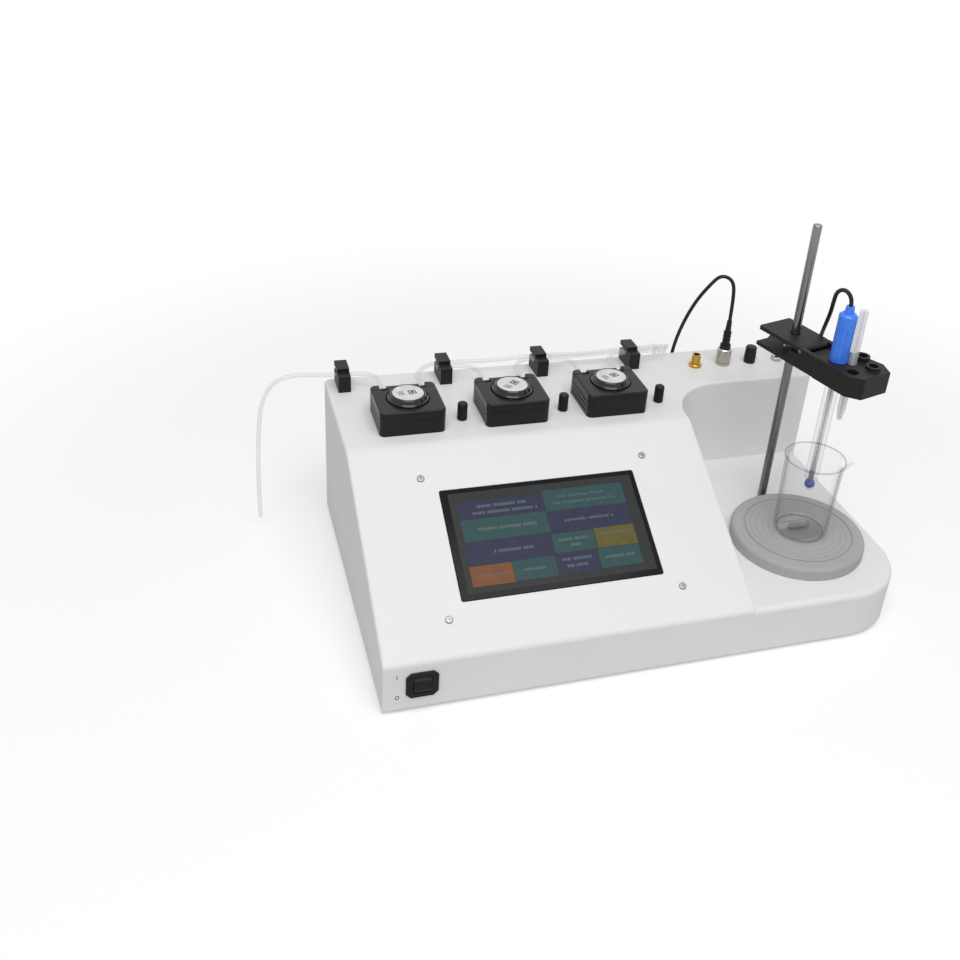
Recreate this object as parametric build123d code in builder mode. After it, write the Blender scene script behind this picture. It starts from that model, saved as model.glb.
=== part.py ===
"""Automatic titrator: desk-shaped housing with three flip-top pumps, a touch display, a magnetic
stirrer with its beaker, and a stand rod that carries the electrode holder. Millimetres, +Z up."""
import os
from math import atan2, cos, hypot, pi, radians, sin, tan

from build123d import *

os.makedirs("parts", exist_ok=True)

# --- Housing: x and y places below are measured from its front left corner -------------------
housing_width = 477.0
housing_depth = 298.0
housing_height = 136.0
apron_height = 45.0
shelf_depth = 130.0
housing_wall = 3.0
corner_radius = 6.0
nose_radius = 60.0
ridge_radius = 18.0
fold_radius = 5.0
rim_radius = 2.5
bay_width = 160.0
bay_wall_depth = 69.5
bay_corner_radius = 55.0
foot_height = 3.0
fit_gap = 0.3
running_gap = 0.05
shank_gap = 0.2

ridge_setback = housing_depth - shelf_depth
bay_depth = housing_depth - bay_wall_depth
left = -housing_width / 2
right = housing_width / 2
front = -housing_depth / 2
back = housing_depth / 2
base = foot_height
deck_z = base + apron_height
shelf_z = base + housing_height
bay_left = right - bay_width
bay_back = front + bay_depth
slope_angle = atan2(shelf_z - deck_z, ridge_setback)
slope_length = hypot(shelf_z - deck_z, ridge_setback)
slope_plane = Plane(origin=(left, front, deck_z), x_dir=(1, 0, 0),
                    z_dir=(0, -sin(slope_angle), cos(slope_angle)))
shelf_plane = Plane.XY.offset(shelf_z)
deck_plane = Plane.XY.offset(deck_z)

# --- Base plate, feet and screws --------------------------------------------------------------
plate_thickness = 2.0
foot_radius = 7.0
foot_inset = 14.0
foot_places = [(foot_inset, 12), (housing_width - 161, 12), (housing_width - 61, foot_inset),
               (foot_inset, housing_depth - foot_inset), (240, housing_depth - foot_inset),
               (housing_width - foot_inset, housing_depth - foot_inset)]
post_radius = 5.0
post_inset = 22.0
post_places = [(30, 24), (180, 12), (housing_width - 97, 20), (30, housing_depth - post_inset),
               (225, housing_depth - 36), (housing_width - 25, housing_depth - post_inset)]
base_screw_radius = 1.5
base_screw_length = 10.0
base_head_radius = 2.8
base_head_height = 1.6

# --- Display on the slope: along is measured up the slope from the apron's fold ---------------
window_width = 174.4
window_height = 100.0
window_x = 158.0
window_lift = 1.33
window_along = slope_length / 2 - window_lift
window_thickness = 2.5
window_seat = 1.9
window_corner = 2.0
screen_width = 158.0
screen_height = 88.0
module_width = 165.0
module_height = 98.0
module_depth = 6.0
frame_width = 214.0
frame_height = 140.0
frame_depth = 9.0
frame_lip = 10.0
panel_screw_pitch_x = 200.6
panel_screw_pitch_along = 126.6
panel_screw_radius = 1.5
panel_screw_length = 9.0
panel_head_radius = 3.2
panel_head_height = 1.8

# --- Mains switch on the apron ------------------------------------------------------------------
switch_x = 31.3
switch_z = 23.5
switch_width = 26.0
switch_height = 24.5
switch_clip = 4.0
switch_flange = 1.6
switch_body_width = 21.0
switch_body_height = 19.0
switch_body_depth = 15.0
rocker_width = 14.0
rocker_height = 15.0
rocker_pivot = 3.0
rocker_axle = 1.0
rocker_back = 2.4
rocker_rest = 9.0
rocker_proud = 3.4

# --- Pumps on the shelf -------------------------------------------------------------------------
pump_count = 3
pump_row_margin = 32.0
pump_pitch = (housing_width - bay_width - pump_row_margin) / pump_count
pump_x = 61.0
pump_setback = 114.0
pump_front = housing_depth - pump_setback
pump_width = 58.2
pump_depth = 53.0
pump_base_height = 17.0
pump_height = 22.6
pump_corner = 5.0
rotor_setback = 25.5
race_floor = 7.6
tube_level = 13.5
tube_radius = 1.9
tube_centre_radius = 17.65
groove_depth = 0.8
groove_height = 1.6
groove_levels = [4.0, 8.5, 13.0]
post_width = 8.6
pump_post_depth = 10.6
hinge_inset = 4.5
hinge_level = 19.6
knuckle_half = 14.5
knuckle_radius = 3.0
peg_radius = 1.3
peg_reach = 9.0
cover_gap = 0.3
notch_gap = 0.9
cap_radius = 18.2
cap_top_radius = 15.6
cap_height = 28.0
window_gap = 1.1
lip_inset = 1.2
lip_height = 1.4
roller_count = 2
roller_circle = 11.0
roller_radius = 4.4
roller_length = 7.4
axle_radius = 1.2
hub_radius = 4.5
lower_disc_radius = 14.0
lower_disc_height = 1.2
spindle_radius = 3.0
spindle_drop = 14.0
motor_radius = 17.5
motor_length = 52.0

# --- Tube combs and trim knobs along the shelf ----------------------------------------------------
comb_count = 4
comb_x = 15.1
comb_width = 11.2
comb_front = housing_depth - 30.0
comb_depth = 27.0
comb_step_height = 16.6
comb_height = 19.8
comb_step_depth = 9.0
comb_slot_depth = 21.0
comb_slot = 4.0
knob_x = pump_x + pump_pitch / 2 + 0.5
knob_y = housing_depth - 95.0
knob_radius = 4.5
knob_height = 17.0
knob_dome = 2.0
knob_lift = 0.5
knob_flutes = 12
knob_flute_radius = 0.5
knob_shaft_radius = 2.0
knob_shaft_length = 14.0
knob_bush_radius = 3.5

# --- Sockets at the right of the shelf ------------------------------------------------------------
socket_y = housing_depth - 33.0
signal_x = housing_width - 111.4
bnc_x = housing_width - 81.0
ground_x = housing_width - 50.7
sensor_x = housing_width - 20.0
signal_flange_radius = 6.3
signal_flange_height = 3.2
signal_barrel_radius = 4.15
signal_barrel_height = 13.0
signal_bore_radius = 3.0
signal_threads = [5.5, 7.5, 9.5]
bnc_flange_radius = 7.2
bnc_flange_height = 3.0
bnc_barrel_radius = 4.8
bnc_barrel_height = 12.0
lug_level = 8.0
lug_radius = 0.9
lug_reach = 0.8
contact_radius = 0.7
contact_bore_radius = 1.0
contact_reach = 6.0
ground_base_radius = 5.8
ground_base_height = 4.5
ground_stud_radius = 2.0
ground_stud_height = 13.0
ground_nut_radius = 6.0
ground_nut_height = 13.0
ground_flutes = 18
sensor_flange_radius = 5.5
sensor_flange_height = 3.0
sensor_bore_radius = 2.0
sensor_barrel_radius = 3.5
socket_drop = 14.0

# --- Rear connectors ------------------------------------------------------------------------------
inlet_x = 70.0
inlet_z = 32.0
inlet_width = 48.0
inlet_height = 28.0
inlet_flange = 2.0
inlet_opening_width = 24.5
inlet_opening_height = 17.0
inlet_depth = 22.0
inlet_pins = [(-7.0, -2.0), (0.0, 2.0), (7.0, -2.0)]
inlet_screw_pitch = 40.0
data_x = 130.0
data_z = 32.0
data_width = 12.2
data_height = 11.2
data_depth = 16.0
data_wall = 1.0

# --- Stirrer ----------------------------------------------------------------------------------------
stir_x = housing_width - 77.0
stir_y = 85.0
stir_radius = 61.0
stir_height = 12.0
stir_edge = 4.0
stir_rings = [24.0, 32.0, 40.0, 48.0]
ring_width = 1.6
ring_depth = 0.8
magnet_length = 44.0
magnet_width = 12.0
magnet_height = 8.0
magnet_level = 29.0
stir_motor_radius = 19.0
stir_motor_height = 20.0
stir_shaft_radius = 2.0

# --- Beaker and stir bar ----------------------------------------------------------------------------
beaker_offset = 1.5
beaker_radius = 24.4
beaker_flare = 1.5
beaker_height = 78.0
beaker_wall = 1.6
beaker_corner = 5.0
beaker_rim_radius = 27.4
spout_angle = -24.0
spout_reach = 33.5
spout_half_width = 8.0
spout_drop = 16.0
spout_root = 3.0
bar_length = 20.0
bar_radius = 3.2
bar_ring = 0.3
bar_ring_width = 3.0
rim_bead = 1.6

# --- Stand rod and electrode holder: arm lengths are measured from the rod's axis ------------------
rod_x = housing_width - 77.5
rod_y = 153.0
rod_radius = 4.0
rod_length = 300.0
rod_top = 326.0
rod_boss_radius = 10.0
rod_boss_floor = 4.0
arm_angle = -74.3
holder_bottom = 205.0
holder_height = 19.5
clip_back = -26.5
clip_front = 22.5
clip_half = 18.8
leaf_thickness = 3.5
rod_hole_radius = 4.7
head_points = [(44, -19.5), (82, -19.5), (93.5, -11), (93.5, 20), (80, 26.5), (60, 22), (44, 15)]
head_edge = 1.2
head_step = 1.5
cheek_thickness = 4.3
cheek_start = 8.0
cheek_height = 12.5
saddle_x = 30.0
saddle_height = 15.0
leaf_drop = 0.5
leaf_gap = 0.5
barrel_radius = 3.0
pin_radius = 1.5
pivot_x = 25.0
pivot_drop = 3.6
spring_radius = 7.4
spring_wire = 0.6
spring_turns = 4
cap_flutes = 10
electrode_place = (56.8, -5.0)
electrode_radius = 6.0
electrode_tip_z = 92.0
electrode_bulb_radius = 5.0
cap_body_radius = 8.0
cap_body_height = 44.0
cap_neck_radius = 4.2
cap_neck_height = 6.5
cap_shoulder = 2.0
dosing_place = (67.0, 1.2)
dosing_radius = 3.6
dosing_bore = 1.2
dosing_bottom = 170.0
dosing_top = 274.0
dosing_taper = 10.0
spare_places = [(78.5, -10.5, 5.2, 0.0), (65.0, 15.5, 4.2, 4.0), (82.0, 10.5, 4.2, 3.0)]
spare_collar = 2.2
grip_gap = 0.05

# --- Electrode lead and its plug --------------------------------------------------------------------
plug_radius = 5.4
plug_top = 22.0
boot_radius = 3.6
boot_tip_radius = 2.4
boot_length = 26.0
boot_ribs = 4
boot_rib_pitch = 4.0
nut_radius = 7.2
nut_bottom = 3.4
nut_height = 14.5
nut_flutes = 24
lead_radius = 1.8
lead_rise = 6.5
# upper points: from the rod's axis; lower points: the second number is a share of the way to the back
upper_points = [(5.5, -51.5, 288.5), (1.8, -44.8, 284.5), (4.8, -39, 270.5), (9.8, -31.5, 260),
                (15.7, -21, 246.3), (22.8, -8, 231), (28, 1.5, 218), (30.5, 6, 207), (30.5, 6, 198)]
lower_points = [(30.5, 0.0414, 198), (30.5, 0.0414, 180), (37.5, 0.1655, 174), (48.5, 0.3517, 169),
                (57.5, 0.5448, 164), (62.5, 0.7379, 159), (65, 0.8966, 153.5), (66.5, 1.0034, 146),
                (67, 1.0448, 129), (67, 1.0483, 100), (65.5, 1.0552, 65), (62.5, 1.069, 29),
                (51.5, 1.0828, 5), (31.5, 1.1034, -0.9), (5.5, 1.1103, -0.9), (-19.5, 1.0966, 1),
                (-36.5, 1.069, 13), (-42, 1.0483, 35), (-43, 1.0414, 65), (-43.2, 1.0379, 98),
                (-43, 1.0345, 126), (-42.5, 1.0069, 147), (-41, 0.9655, 167), (-38, 0.9207, 186.5),
                (-33.2, 0.8828, 203.5), (-26, 0.8448, 219), (-18, 0.8166, 231), (-7, 0.7807, 227.5),
                (-3.5, 0.7724, 212)]
tube_lane = housing_depth - 11.0
tube_spacing = 4.2
inlet_lane = housing_depth - 19.4
tube_straight = 10.0
tube_stub = 7.5
tube_sag = 2.0
tube_drop_x = housing_width - 141.0
tube_drop_pitch = 5.5
tube_drop = [(-9, -298, 150), (-2, -4, 147.5), (0, 3.5, 137), (0.5, 5, 118), (0.5, 5.5, 90),
             (0, 6, 60)]
inlet_bends = [(35.0, 41.6), (23.3, 39.0), (17.5, 33.5), (16.2, 26.0), (16.4, 13.0)]
outlet_bends = [(19.6, 14.0), (19.9, 27.0), (24.5, 39.0)]
left_tail = [(-66, -30, 9), (-66, -28, 36), (-65, -25, 68), (-63, -22, 100), (-59, -20, 128),
             (-48, -19, 147), (-30, -19, 152.5), (-10, -19.4, 151), (5, -19.4, 149.5)]

# --- Inner parts ------------------------------------------------------------------------------------
board_x, board_y = 150.0, housing_depth - 148.0
board_width, board_depth, board_thickness = 190.0, 110.0, 1.6
board_lift = 6.0
supply_x, supply_y = 75.0, housing_depth - 63.0
supply_width, supply_depth, supply_height = 110.0, 58.0, 36.0


def at(x, y):
    """Place measured from the housing's front left corner, in the model's frame."""
    return (left + x, front + y)


def save(part, name):
    part.label = name
    export_step(part, f"parts/{name}.step")


def housing_form(inset):
    """The housing's block, drawn in by inset on every face but the bottom."""
    floor_z = base - inset
    side_left, side_right = left + inset, right - inset
    wall_front, wall_back = bay_back + inset, back - inset
    with BuildPart() as low_deck:
        with BuildSketch(Plane.XY.offset(floor_z)) as plan:
            Rectangle(side_right - side_left, wall_back - front - inset)
            nose = plan.vertices().sort_by_distance((side_right, front + inset))[0]
            fillet(nose, nose_radius - inset)
            corners = plan.vertices().filter_by(lambda v: v.Y > 0)
            fillet(corners, corner_radius - inset)
        extrude(amount=deck_z - inset - floor_z)
        if not inset:
            rim = low_deck.edges().group_by(Axis.Z)[-1]
            fillet(rim.filter_by(lambda e: e.center().Y < wall_front and e.center().X > 0), fold_radius)
    with BuildPart() as form:
        with BuildSketch(Plane.XY.offset(floor_z)) as plan:
            with BuildLine():
                Polyline((side_left, front + inset), (bay_left - inset, front + inset),
                         (bay_left - inset, wall_front), (side_right, wall_front),
                         (side_right, wall_back), (side_left, wall_back), close=True)
            make_face()
            hollow = plan.vertices().sort_by_distance((bay_left - inset, wall_front))[0]
            fillet(hollow, bay_corner_radius + inset)
            ends = [(side_left, wall_back), (side_right, wall_back)]
            fillet([plan.vertices().sort_by_distance(end)[0] for end in ends], corner_radius - inset)
        extrude(amount=housing_height + inset)
        with BuildSketch(Plane.YZ.offset(left)) as side:
            with BuildLine():
                Polyline((front, floor_z - inset), (front, deck_z), (front + ridge_setback, shelf_z),
                         (back, shelf_z), (back, floor_z - inset), close=True)
            make_face()
            if inset:
                offset(amount=-inset, kind=Kind.INTERSECTION)
            else:
                fillet(side.vertices().sort_by_distance((front + ridge_setback, shelf_z))[0], ridge_radius)
                fillet(side.vertices().sort_by_distance((front, deck_z))[0], fold_radius)
        extrude(amount=housing_width, mode=Mode.INTERSECT)
        if not inset:
            shelf_rim = form.faces().sort_by(Axis.Z)[-1].edges().sort_by(Axis.Y)[1:]
            fillet(shelf_rim, rim_radius)
        add(low_deck.part)
    return form.part


def frame_of(x, y, z):
    """Origin of a drawing plane, measured from the housing's front left corner and the floor."""
    return (left + x, front + y, z)


# ====================================================================================================
# Housing
# ====================================================================================================
bottom_up = (Align.CENTER, Align.CENTER, Align.MIN)
top_down = (Align.CENTER, Align.CENTER, Align.MAX)
post_foot = base + plate_thickness
window_centre = (window_x, window_along)
pump_places = [(pump_x + i * pump_pitch, pump_front + rotor_setback) for i in range(pump_count)]
knob_places = [(knob_x + i * pump_pitch, knob_y) for i in range(pump_count)]
socket_holes = [(signal_x, signal_barrel_radius), (bnc_x, bnc_barrel_radius),
                (ground_x, ground_stud_radius), (sensor_x, sensor_barrel_radius)]
opening_width = screen_width + 2 * fit_gap
opening_height = screen_height + 2 * fit_gap
rod_seat = apron_height - (rod_top - rod_length)

with BuildPart() as posts:
    with Locations(*[(*at(x, y), post_foot) for x, y in post_places]):
        Cylinder(post_radius, housing_height, align=bottom_up)
    with Locations((*at(rod_x, rod_y), deck_z)):
        Cylinder(rod_boss_radius, rod_seat + rod_boss_floor, align=top_down)

with BuildPart() as cavity:
    add(housing_form(housing_wall))
    add(posts.part, mode=Mode.SUBTRACT)

with BuildPart() as housing_shell:
    add(housing_form(0))
    add(cavity.part, mode=Mode.SUBTRACT)
    # seat and opening of the display
    with BuildSketch(slope_plane):
        with Locations(window_centre):
            RectangleRounded(window_width + 2 * fit_gap, window_height + 2 * fit_gap, window_corner)
    extrude(amount=-window_seat, mode=Mode.SUBTRACT)
    with BuildSketch(slope_plane):
        with Locations(window_centre):
            Rectangle(opening_width, opening_height)
            with GridLocations(panel_screw_pitch_x, panel_screw_pitch_along, 2, 2):
                Circle(panel_screw_radius + shank_gap)
    extrude(amount=-2 * housing_wall, mode=Mode.SUBTRACT)
    # switch cut-out in the apron
    with BuildSketch(Plane.XZ.offset(-front)):
        with Locations((left + switch_x, base + switch_z)):
            Rectangle(switch_body_width + 2 * fit_gap, switch_body_height + 2 * fit_gap)
    extrude(amount=-2 * housing_wall, mode=Mode.SUBTRACT)
    # spindles, knob bushes and sockets on the shelf
    with BuildSketch(shelf_plane):
        with Locations(*[at(x, y) for x, y in pump_places]):
            Circle(spindle_radius + 1.0)
        with Locations(*[at(x, y) for x, y in knob_places]):
            Circle(knob_bush_radius)
        for socket_x, hole_radius in socket_holes:
            with Locations(at(socket_x, socket_y)):
                Circle(hole_radius + shank_gap)
    extrude(amount=-2 * housing_wall, mode=Mode.SUBTRACT)
    # rod socket in the deck
    with BuildSketch(deck_plane):
        with Locations(at(rod_x, rod_y)):
            Circle(rod_radius + running_gap)
    extrude(amount=-rod_seat, mode=Mode.SUBTRACT)
    # connectors in the back wall
    with BuildSketch(Plane.XZ.offset(-back)):
        with Locations((left + inlet_x, base + inlet_z)):
            Rectangle(inlet_opening_width + 2 * inlet_flange + 2 * fit_gap,
                      inlet_opening_height + 2 * inlet_flange + 2 * fit_gap)
        with Locations((left + data_x, base + data_z)):
            Rectangle(data_width + 2 * fit_gap, data_height + 2 * fit_gap)
    extrude(amount=2 * housing_wall, mode=Mode.SUBTRACT)
    # pilot holes in the posts
    with Locations(*[(*at(x, y), post_foot) for x, y in post_places]):
        Cylinder(base_screw_radius + running_gap, base_screw_length, align=bottom_up, mode=Mode.SUBTRACT)
save(housing_shell.part, "housing_shell")

with BuildPart() as base_plate:
    add(housing_form(housing_wall + fit_gap))
    with Locations((0, 0, post_foot)):
        Box(2 * housing_width, 2 * housing_depth, 2 * housing_height, align=bottom_up, mode=Mode.SUBTRACT)
    with Locations((0, 0, base)):
        Box(2 * housing_width, 2 * housing_depth, 2 * housing_height, align=top_down, mode=Mode.SUBTRACT)
    with Locations(*[(*at(x, y), base) for x, y in post_places]):
        Cylinder(base_screw_radius + shank_gap, plate_thickness, align=bottom_up, mode=Mode.SUBTRACT)
save(base_plate.part, "base_plate")

with BuildPart() as base_screws:
    with Locations(*[(*at(x, y), base) for x, y in post_places]):
        Cylinder(base_head_radius, base_head_height, align=top_down)
        Cylinder(base_screw_radius, base_screw_length, align=bottom_up)
save(base_screws.part, "base_screws")

with BuildPart() as rubber_feet:
    with Locations(*[(*at(x, y), 0) for x, y in foot_places]):
        Cone(foot_radius - 1.0, foot_radius, foot_height, align=bottom_up)
save(rubber_feet.part, "rubber_feet")

# ====================================================================================================
# Display
# ====================================================================================================
with BuildPart() as display_window:
    with BuildSketch(slope_plane.offset(-window_seat)):
        with Locations(window_centre):
            RectangleRounded(window_width, window_height, window_corner)
    extrude(amount=window_thickness)
    chamfer(display_window.faces().sort_by(Axis.Z)[-1].edges(), 0.4)
save(display_window.part, "display_window")

with BuildPart() as display_module:
    with BuildSketch(slope_plane.offset(-housing_wall)):
        with Locations(window_centre):
            Rectangle(module_width, module_height)
    extrude(amount=-module_depth)
    with BuildSketch(slope_plane.offset(-housing_wall)):
        with Locations(window_centre):
            Rectangle(screen_width, screen_height)
    extrude(amount=housing_wall - window_seat - 0.1)
save(display_module.part, "display_module")

with BuildPart() as display_frame:
    with BuildSketch(slope_plane.offset(-housing_wall)):
        with Locations(window_centre):
            RectangleRounded(frame_width, frame_height, window_corner)
    extrude(amount=-frame_depth)
    with BuildSketch(slope_plane.offset(-housing_wall)):
        with Locations(window_centre):
            Rectangle(module_width + 2 * fit_gap, module_height + 2 * fit_gap)
    extrude(amount=-module_depth - 0.1, mode=Mode.SUBTRACT)
    with BuildSketch(slope_plane.offset(-housing_wall)):
        with Locations(window_centre):
            Rectangle(module_width - 2 * frame_lip, module_height - 2 * frame_lip)
            with GridLocations(panel_screw_pitch_x, panel_screw_pitch_along, 2, 2):
                Circle(panel_screw_radius + running_gap)
    extrude(amount=-frame_depth, mode=Mode.SUBTRACT)
save(display_frame.part, "display_frame")

with BuildPart() as display_screws:
    with BuildSketch(slope_plane):
        with Locations(window_centre):
            with GridLocations(panel_screw_pitch_x, panel_screw_pitch_along, 2, 2):
                Circle(panel_screw_radius)
    extrude(amount=-panel_screw_length)
    with BuildSketch(slope_plane):
        with Locations(window_centre):
            with GridLocations(panel_screw_pitch_x, panel_screw_pitch_along, 2, 2):
                Circle(panel_head_radius)
    extrude(amount=panel_head_height)
    heads = display_screws.edges().filter_by(GeomType.CIRCLE).filter_by(
        lambda edge: edge.radius > panel_screw_radius + 1)
    heads_top = heads.filter_by(lambda edge: slope_plane.to_local_coords(edge.center()).Z > 0.1)
    fillet(heads_top, 1.0)
    with BuildSketch(slope_plane.offset(panel_head_height)):
        with Locations(window_centre):
            with GridLocations(panel_screw_pitch_x, panel_screw_pitch_along, 2, 2):
                Rectangle(3.6, 0.8)
                Rectangle(0.8, 3.6)
    extrude(amount=-0.8, mode=Mode.SUBTRACT)
save(display_screws.part, "display_screws")

# ====================================================================================================
# Mains switch
# ====================================================================================================
apron_plane = Plane(origin=(left + switch_x, front, base + switch_z), x_dir=(1, 0, 0), z_dir=(0, -1, 0))

rocker_axis = Location((left + switch_x, front + rocker_pivot, base + switch_z), (0, 90, 0))
with BuildPart() as switch_frame:
    with BuildSketch(apron_plane) as bezel:
        Rectangle(switch_width, switch_height)
        chamfer(bezel.vertices(), switch_clip)
    extrude(amount=switch_flange)
    fillet(switch_frame.faces().sort_by(Axis.Y)[0].edges(), 0.7)
    with BuildSketch(apron_plane):
        Rectangle(switch_body_width, switch_body_height)
    extrude(amount=-switch_body_depth)
    with BuildSketch(apron_plane.offset(switch_flange)):
        RectangleRounded(rocker_width + 2 * fit_gap, rocker_height + 2 * fit_gap, fit_gap)
    extrude(amount=-switch_flange - switch_body_depth + 2, mode=Mode.SUBTRACT)
    with Locations(rocker_axis):
        Cylinder(rocker_axle, rocker_width + 4 * fit_gap)
save(switch_frame.part, "switch_frame")

with BuildPart() as switch_rocker:
    tilt = radians(rocker_rest)
    rocker_side = Plane(origin=(left + switch_x - rocker_width / 2, front + rocker_pivot, base + switch_z),
                        x_dir=(0, cos(tilt), -sin(tilt)), z_dir=(1, 0, 0))
    with BuildSketch(rocker_side):
        with BuildLine():
            face = -rocker_pivot - rocker_proud
            half = rocker_height / 2
            Polyline((rocker_back, -half + 2.8), (-rocker_pivot - switch_flange, -half + 0.8), (face, -half + 3.3))
            ThreePointArc((face, -half + 3.3), (face + 0.9, 0), (face, half - 3.3))
            Polyline((face, half - 3.3), (-rocker_pivot - switch_flange, half - 0.8), (rocker_back, half - 2.8),
                     (rocker_back, -half + 2.8))
        make_face()
    extrude(amount=rocker_width)
    sides = switch_rocker.edges().filter_by(
        lambda edge: edge.center().Y < front - switch_flange
        and abs(edge.center().X - left - switch_x) > rocker_width / 2 - 1)
    fillet(sides, 0.6)
    with Locations(rocker_axis):
        Cylinder(rocker_axle + running_gap, rocker_width + fit_gap, mode=Mode.SUBTRACT)
save(switch_rocker.part, "switch_rocker")

# ====================================================================================================
# Pumps
# ====================================================================================================
hinge_y = pump_depth - hinge_inset - rotor_setback
body_middle = pump_depth / 2 - rotor_setback
body_back = pump_depth - rotor_setback
post_front = body_back - pump_post_depth
notch_front = post_front - notch_gap
cover_bottom = pump_base_height + cover_gap
race_radius = tube_centre_radius + tube_radius + fit_gap


def pump_body(place):
    """Lower half of a pump head: the raceway, its tube channels and the two hinge posts."""
    origin = frame_of(*place, shelf_z)
    level = Plane(origin=origin)
    with BuildPart() as body:
        with BuildSketch(level):
            with Locations((0, body_middle)):
                RectangleRounded(pump_width, pump_depth, pump_corner)
        extrude(amount=pump_base_height)
        # hinge posts at the back corners
        with BuildSketch(level):
            with Locations((0, body_middle)):
                RectangleRounded(pump_width, pump_depth, pump_corner)
            with Locations((0, post_front)):
                Rectangle(pump_width, 2 * pump_depth, align=(Align.CENTER, Align.MAX), mode=Mode.SUBTRACT)
            with Locations((0, body_back)):
                Rectangle(pump_width - 2 * post_width, 4 * pump_depth, mode=Mode.SUBTRACT)
        extrude(amount=pump_height)
        fillet(body.faces().sort_by(Axis.Z)[-2:].edges(), 1.6)
        # raceway, open to the top, and the two channels out to the back
        with BuildSketch(level.offset(race_floor)):
            Circle(race_radius)
            with Locations((0, 0)):
                Rectangle(2 * race_radius, notch_front - 4.0, align=(Align.CENTER, Align.MIN))
            with Locations((-tube_centre_radius, 0), (tube_centre_radius, 0)):
                Rectangle(2 * tube_radius + 2 * fit_gap, pump_depth, align=(Align.CENTER, Align.MIN))
        extrude(amount=pump_height, mode=Mode.SUBTRACT)
        # well under the hinge knuckle, and the peg holes
        well_floor = hinge_level - knuckle_radius - fit_gap
        with BuildSketch(level.offset(well_floor)):
            with Locations((0, notch_front - 4.0)):
                Rectangle(2 * knuckle_half + 2 * fit_gap, pump_depth, align=(Align.CENTER, Align.MIN))
        extrude(amount=pump_height, mode=Mode.SUBTRACT)
        with Locations(Location((origin[0], origin[1] + hinge_y, origin[2] + hinge_level), (0, 90, 0))):
            Cylinder(peg_radius + running_gap, 2 * (knuckle_half + peg_reach + 1.0), mode=Mode.SUBTRACT)
        # spindle hole and the grooves moulded round the sides
        with BuildSketch(level):
            Circle(spindle_radius + running_gap)
        extrude(amount=race_floor, mode=Mode.SUBTRACT)
        for groove_level in groove_levels:
            with BuildSketch(level.offset(groove_level)):
                for side in (-1, 1):
                    with Locations((side * pump_width / 2, body_middle - 1)):
                        Rectangle(2 * groove_depth, pump_depth - 16)
            extrude(amount=groove_height, mode=Mode.SUBTRACT)
    return body.part


def pump_cover(place):
    """Flip-top cover: the round window for the cap, the front lip, and the knuckle with its pegs."""
    origin = frame_of(*place, shelf_z)
    level = Plane(origin=origin)
    with BuildPart() as cover:
        with BuildSketch(level.offset(cover_bottom)):
            with Locations((0, body_middle)):
                RectangleRounded(pump_width, pump_depth, pump_corner)
            with Locations((0, notch_front)):
                Rectangle(pump_width, pump_depth, align=(Align.CENTER, Align.MIN), mode=Mode.SUBTRACT)
        extrude(amount=pump_height - cover_bottom)
        fillet(cover.faces().sort_by(Axis.Z)[-1].edges().filter_by(
            lambda edge: edge.center().Y < origin[1] + notch_front - 1), lip_inset)
        # knuckle round the hinge axis
        side = Plane(origin=(origin[0] - knuckle_half, origin[1] + hinge_y, origin[2] + hinge_level),
                     x_dir=(0, 1, 0), z_dir=(1, 0, 0))
        with BuildSketch(side):
            Circle(knuckle_radius)
            Rectangle(hinge_y - notch_front + 1, knuckle_radius, align=(Align.MAX, Align.MIN))
            Rectangle(hinge_y - notch_front + 1, hinge_level - cover_bottom, align=(Align.MAX, Align.MAX))
        extrude(amount=2 * knuckle_half)
        with Locations(Location((origin[0], origin[1] + hinge_y, origin[2] + hinge_level), (0, 90, 0))):
            Cylinder(peg_radius, 2 * (knuckle_half + peg_reach))
        # window for the cap
        with BuildSketch(level.offset(cover_bottom)):
            Circle(cap_radius + window_gap)
        extrude(amount=pump_height, mode=Mode.SUBTRACT)
        # seam groove of the front lip
        with BuildSketch(level.offset(pump_height - 2 * lip_height - lip_inset)):
            with Locations((0, -rotor_setback)):
                Rectangle(pump_width - 4 * lip_inset - 4, 2 * 0.6)
        extrude(amount=lip_height / 2, mode=Mode.SUBTRACT)
    return cover.part


def roller_places(place):
    """Axes of the rollers of the pump at place."""
    x, y = at(*place)
    turns = [90 + 360 * i / roller_count for i in range(roller_count)]
    return [(x + roller_circle * cos(radians(turn)), y + roller_circle * sin(radians(turn)))
            for turn in turns]


def pump_rotor(place):
    """Spindle, carrier disc, roller axles and the cap that shows through the cover."""
    x, y = at(*place)
    disc_bottom = race_floor + 0.4
    cap_bottom = cover_bottom
    with BuildPart() as rotor:
        with Locations((x, y, shelf_z + disc_bottom)):
            Cylinder(lower_disc_radius, lower_disc_height, align=bottom_up)
            Cylinder(hub_radius, cap_bottom - disc_bottom, align=bottom_up)
        with Locations((x, y, shelf_z - spindle_drop)):
            Cylinder(spindle_radius, spindle_drop + disc_bottom, align=bottom_up)
        with BuildSketch(Plane(origin=(x, y, shelf_z), x_dir=(1, 0, 0), z_dir=(0, -1, 0))):
            with BuildLine():
                Polyline((0, cap_bottom), (cap_radius, cap_bottom), (cap_radius, pump_height + 0.6),
                         (cap_radius - 1.2, pump_height + 1.8), (cap_top_radius, cap_height - 0.8),
                         (cap_top_radius - 0.8, cap_height), (cap_top_radius - 1.6, cap_height),
                         (cap_top_radius - 1.6, cap_height - 0.4), (0, cap_height - 0.4),
                         (0, cap_bottom))
            make_face()
        revolve(axis=Axis((x, y, shelf_z), (0, 0, 1)))
        with Locations(*[(*axle, shelf_z + disc_bottom) for axle in roller_places(place)]):
            Cylinder(axle_radius, cap_bottom - disc_bottom, align=bottom_up)
    return rotor.part


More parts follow.
